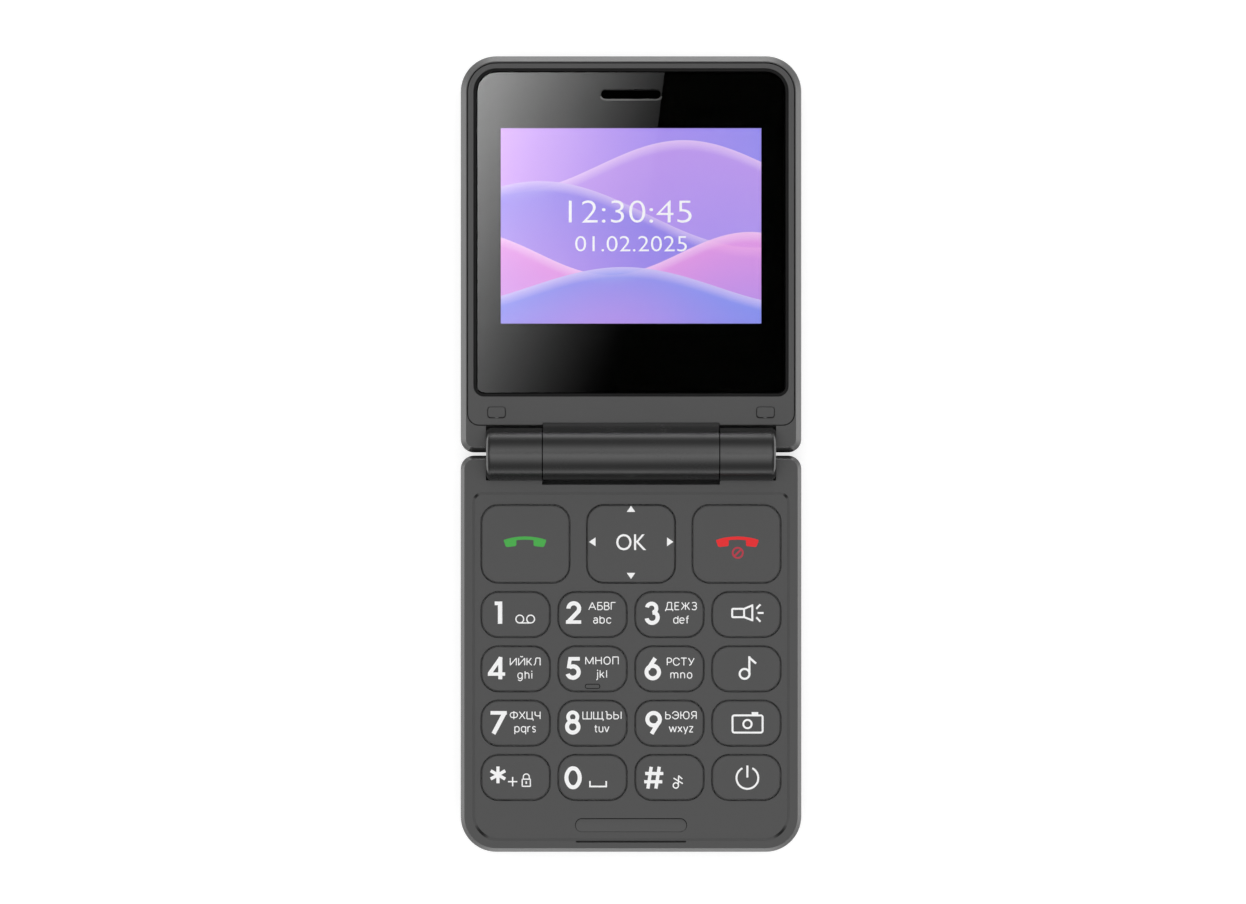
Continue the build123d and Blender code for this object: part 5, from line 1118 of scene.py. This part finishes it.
# %% Rows of letters
TYPE_HIGH, TYPE_LINE = 1.54, 0.178
alphabets = {
    "key_2": [("АБВГ", -0.80, 4.40, 0.82), ("abc", 0.10, 3.52, -1.73)],
    "key_3": [("ДЕЖЗ", -0.82, 5.15, 0.82), ("def", 0.70, 3.72, -1.73)],
    "key_4": [("ИЙКЛ", -1.11, 4.68, 0.58), ("ghi", 0.33, 3.12, -1.90)],
    "key_5": [("МНОП", -1.38, 4.92, 0.78), ("jkl", 0.64, 2.72, -1.73)],
    "key_6": [("РСТУ", -0.50, 4.72, 0.58), ("mno", 0.15, 4.28, -1.85)],
    "key_7": [("ФХЦЧ", -1.11, 4.68, 0.72), ("pqrs", -0.25, 3.85, -1.75)],
    "key_8": [("ШЩЪЫ", -1.91, 5.45, 0.72), ("tuv", 0.28, 3.15, -1.75)],
    "key_9": [("ЬЭЮЯ", -0.80, 5.12, 0.72), ("wxyz", -0.12, 4.50, -1.75)],
}


def read_letter(text):
    """The width and the strokes of a letter from its line of numbers."""
    width, strokes = text.split(":")
    return float(width), [[float(number) for number in stroke.split()] for stroke in strokes.split(",")]


def write(words, left, right, base):
    """The strokes of a row of letters between left and right, standing on base."""
    case = capitals if words[0] in capitals else small_letters
    unit = TYPE_HIGH - TYPE_LINE
    drawn = [read_letter(case[letter]) for letter in words]
    space = (right - left - TYPE_LINE - sum(width * unit for width, _ in drawn)) / (len(words) - 1)
    x, y, row = left + TYPE_LINE / 2, base + TYPE_LINE / 2, []
    for width, strokes in drawn:
        for sizes in strokes:
            pen = PEN_BY_COUNT[len(sizes)]
            if pen == "bar":
                ends = [(x, y)[spot % 2] + size * unit for spot, size in enumerate(sizes)]
                row.append((pen, *ends, TYPE_LINE))
            else:
                middle = (x + sizes[0] * unit, y + sizes[1] * unit, sizes[2] * unit)
                row.append((pen, *middle) if pen == "disc" else (pen, *middle, TYPE_LINE, *sizes[3:]))
        x += width * unit + space
    return row


print("rows", sum(len(rows) for rows in alphabets.values()))

# %% [markdown]
# Four of the dial keys carry a small sign in place of letters: a message tape, a space, a plus with a
# padlock, and a muted note. With these the twelve dial keys can be printed.

# %% Small signs, and the twelve dial keys
small_signs = {
    "key_1": [("arc", 0.77, -0.85, 0.73, 0.22), ("arc", 2.81, -0.85, 0.73, 0.22),
              ("bar", 0.77, -1.58, 2.81, -1.58, 0.22)],
    "key_0": [("bar", -0.64, -1.69, 2.72, -1.69, 0.3), ("bar", -0.49, -0.66, -0.49, -1.6, 0.3),
              ("bar", 2.57, -0.66, 2.57, -1.6, 0.3)],
    "key_star": [("bar", -1.45, -0.78, 0.31, -0.78, 0.25), ("bar", -0.57, 0.1, -0.57, -1.66, 0.25),
                 ("box", 1.11, -1.77, 2.87, -0.2, 0.23, 0.05), ("arc", 1.99, 0.1, 0.56, 0.22, 0, 180),
                 ("bar", 1.43, 0.12, 1.43, -0.25, 0.22), ("bar", 2.55, 0.12, 2.55, -0.25, 0.22),
                 ("bar", 1.99, -0.72, 1.99, -1.2, 0.28)],
    "key_hash": [("arc", 1.2, -1.5, 0.5, 0.23), ("bar", 1.64, -1.5, 1.74, 0.38, 0.23),
                 ("bar", 1.72, 0.33, 2.4, -0.28, 0.23), ("bar", 0.75, -0.1, 2.5, -1.15, 0.23)],
}
for key in digits:
    rows = [stroke for row in alphabets.get(key, []) for stroke in write(*row)]
    print_key(key, digits[key] + small_signs.get(key, []) + rows)

# %% [markdown]
# The four keys of the right-hand column carry signs for the torch, the music player, the camera and power.
# They are drawn in one width of line, but for the note's heavier one.

# %% Signs of the right-hand column
LINE, NOTE_LINE, HUMP_LINE = 0.36, 0.4, 0.46
print_key("key_torch", [
    ("box", -2.84, -0.68, -0.25, 1.25, LINE, 0.2), ("bar", -0.35, 1.1, 1.2, 1.75, LINE),
    ("bar", -0.35, -0.52, 1.2, -1.1, LINE), ("bar", 1.12, 1.9, 1.12, -1.25, LINE),
    ("bar", 1.87, 1.07, 2.64, 1.9, LINE), ("bar", 2.12, 0.3, 3.23, 0.3, LINE),
    ("bar", 1.87, -0.53, 2.64, -1.33, LINE)])
print_key("key_music", [
    ("arc", -0.33, -0.94, 0.92, NOTE_LINE), ("bar", 0.56, 2.36, 0.56, -0.94, NOTE_LINE),
    ("bar", 0.45, 2.2, 1.81, 1.0, NOTE_LINE)])
print_key("key_camera", [
    ("box", -2.78, -1.95, 3.23, 1.64, LINE, 0.35), ("bar", 0.99, 1.85, 2.23, 1.85, HUMP_LINE),
    ("arc", 0.21, -0.17, 0.78, LINE)])
print_key("key_power", [("arc", 0.19, -0.09, 2.05, LINE, 117, 306), ("bar", 0.19, 2.24, 0.19, 0.0, LINE)])

# %% [markdown]
# The large navigation key has four arrow heads round a word. The call and end keys have handsets, each a
# shallow arc with a rounded patch at both ends, and below the end key's handset is a small crossed ring.

# %% Navigation, call and end
SIGN_LINE = 0.34
CURVE_R, CURVE_SPAN, CURVE_TOP, GRIP = 12.85, 15.5, 1.09, 0.6
CUP = [(1.62, 1.05), (1.62, -0.4), (3.56, -0.62), (4.07, 0.78)]
print_key("nav_key", [
    ("patch", [(0.0, 7.16), (-0.79, 6.0), (0.79, 6.0)]),
    ("patch", [(0.0, -6.6), (0.79, -5.45), (-0.79, -5.45)]),
    ("patch", [(-7.9, 0.38), (-6.67, -0.45), (-6.67, 1.21)]),
    ("patch", [(7.95, 0.38), (6.76, 1.21), (6.76, -0.45)])],
    words=[("OK", -2.78, -1.2, 2.84, 1.83)])


def handset(shift, rounding):
    return [("arc", shift, CURVE_TOP - CURVE_R, CURVE_R, GRIP, 90 - CURVE_SPAN, 2 * CURVE_SPAN),
            *[("patch", [(side * x + shift, y) for x, y in CUP], rounding) for side in (1, -1)]]


print_key("call_key", handset(-0.1, 0.28), "green_ink")
print_key("end_key", handset(0.15, 0.3), "red_ink")
print_key("end_key", [("arc", 0.22, -1.68, 0.95, SIGN_LINE), ("bar", -0.43, -2.33, 0.87, -1.03, SIGN_LINE)],
          "dark_red_ink", name="sign")
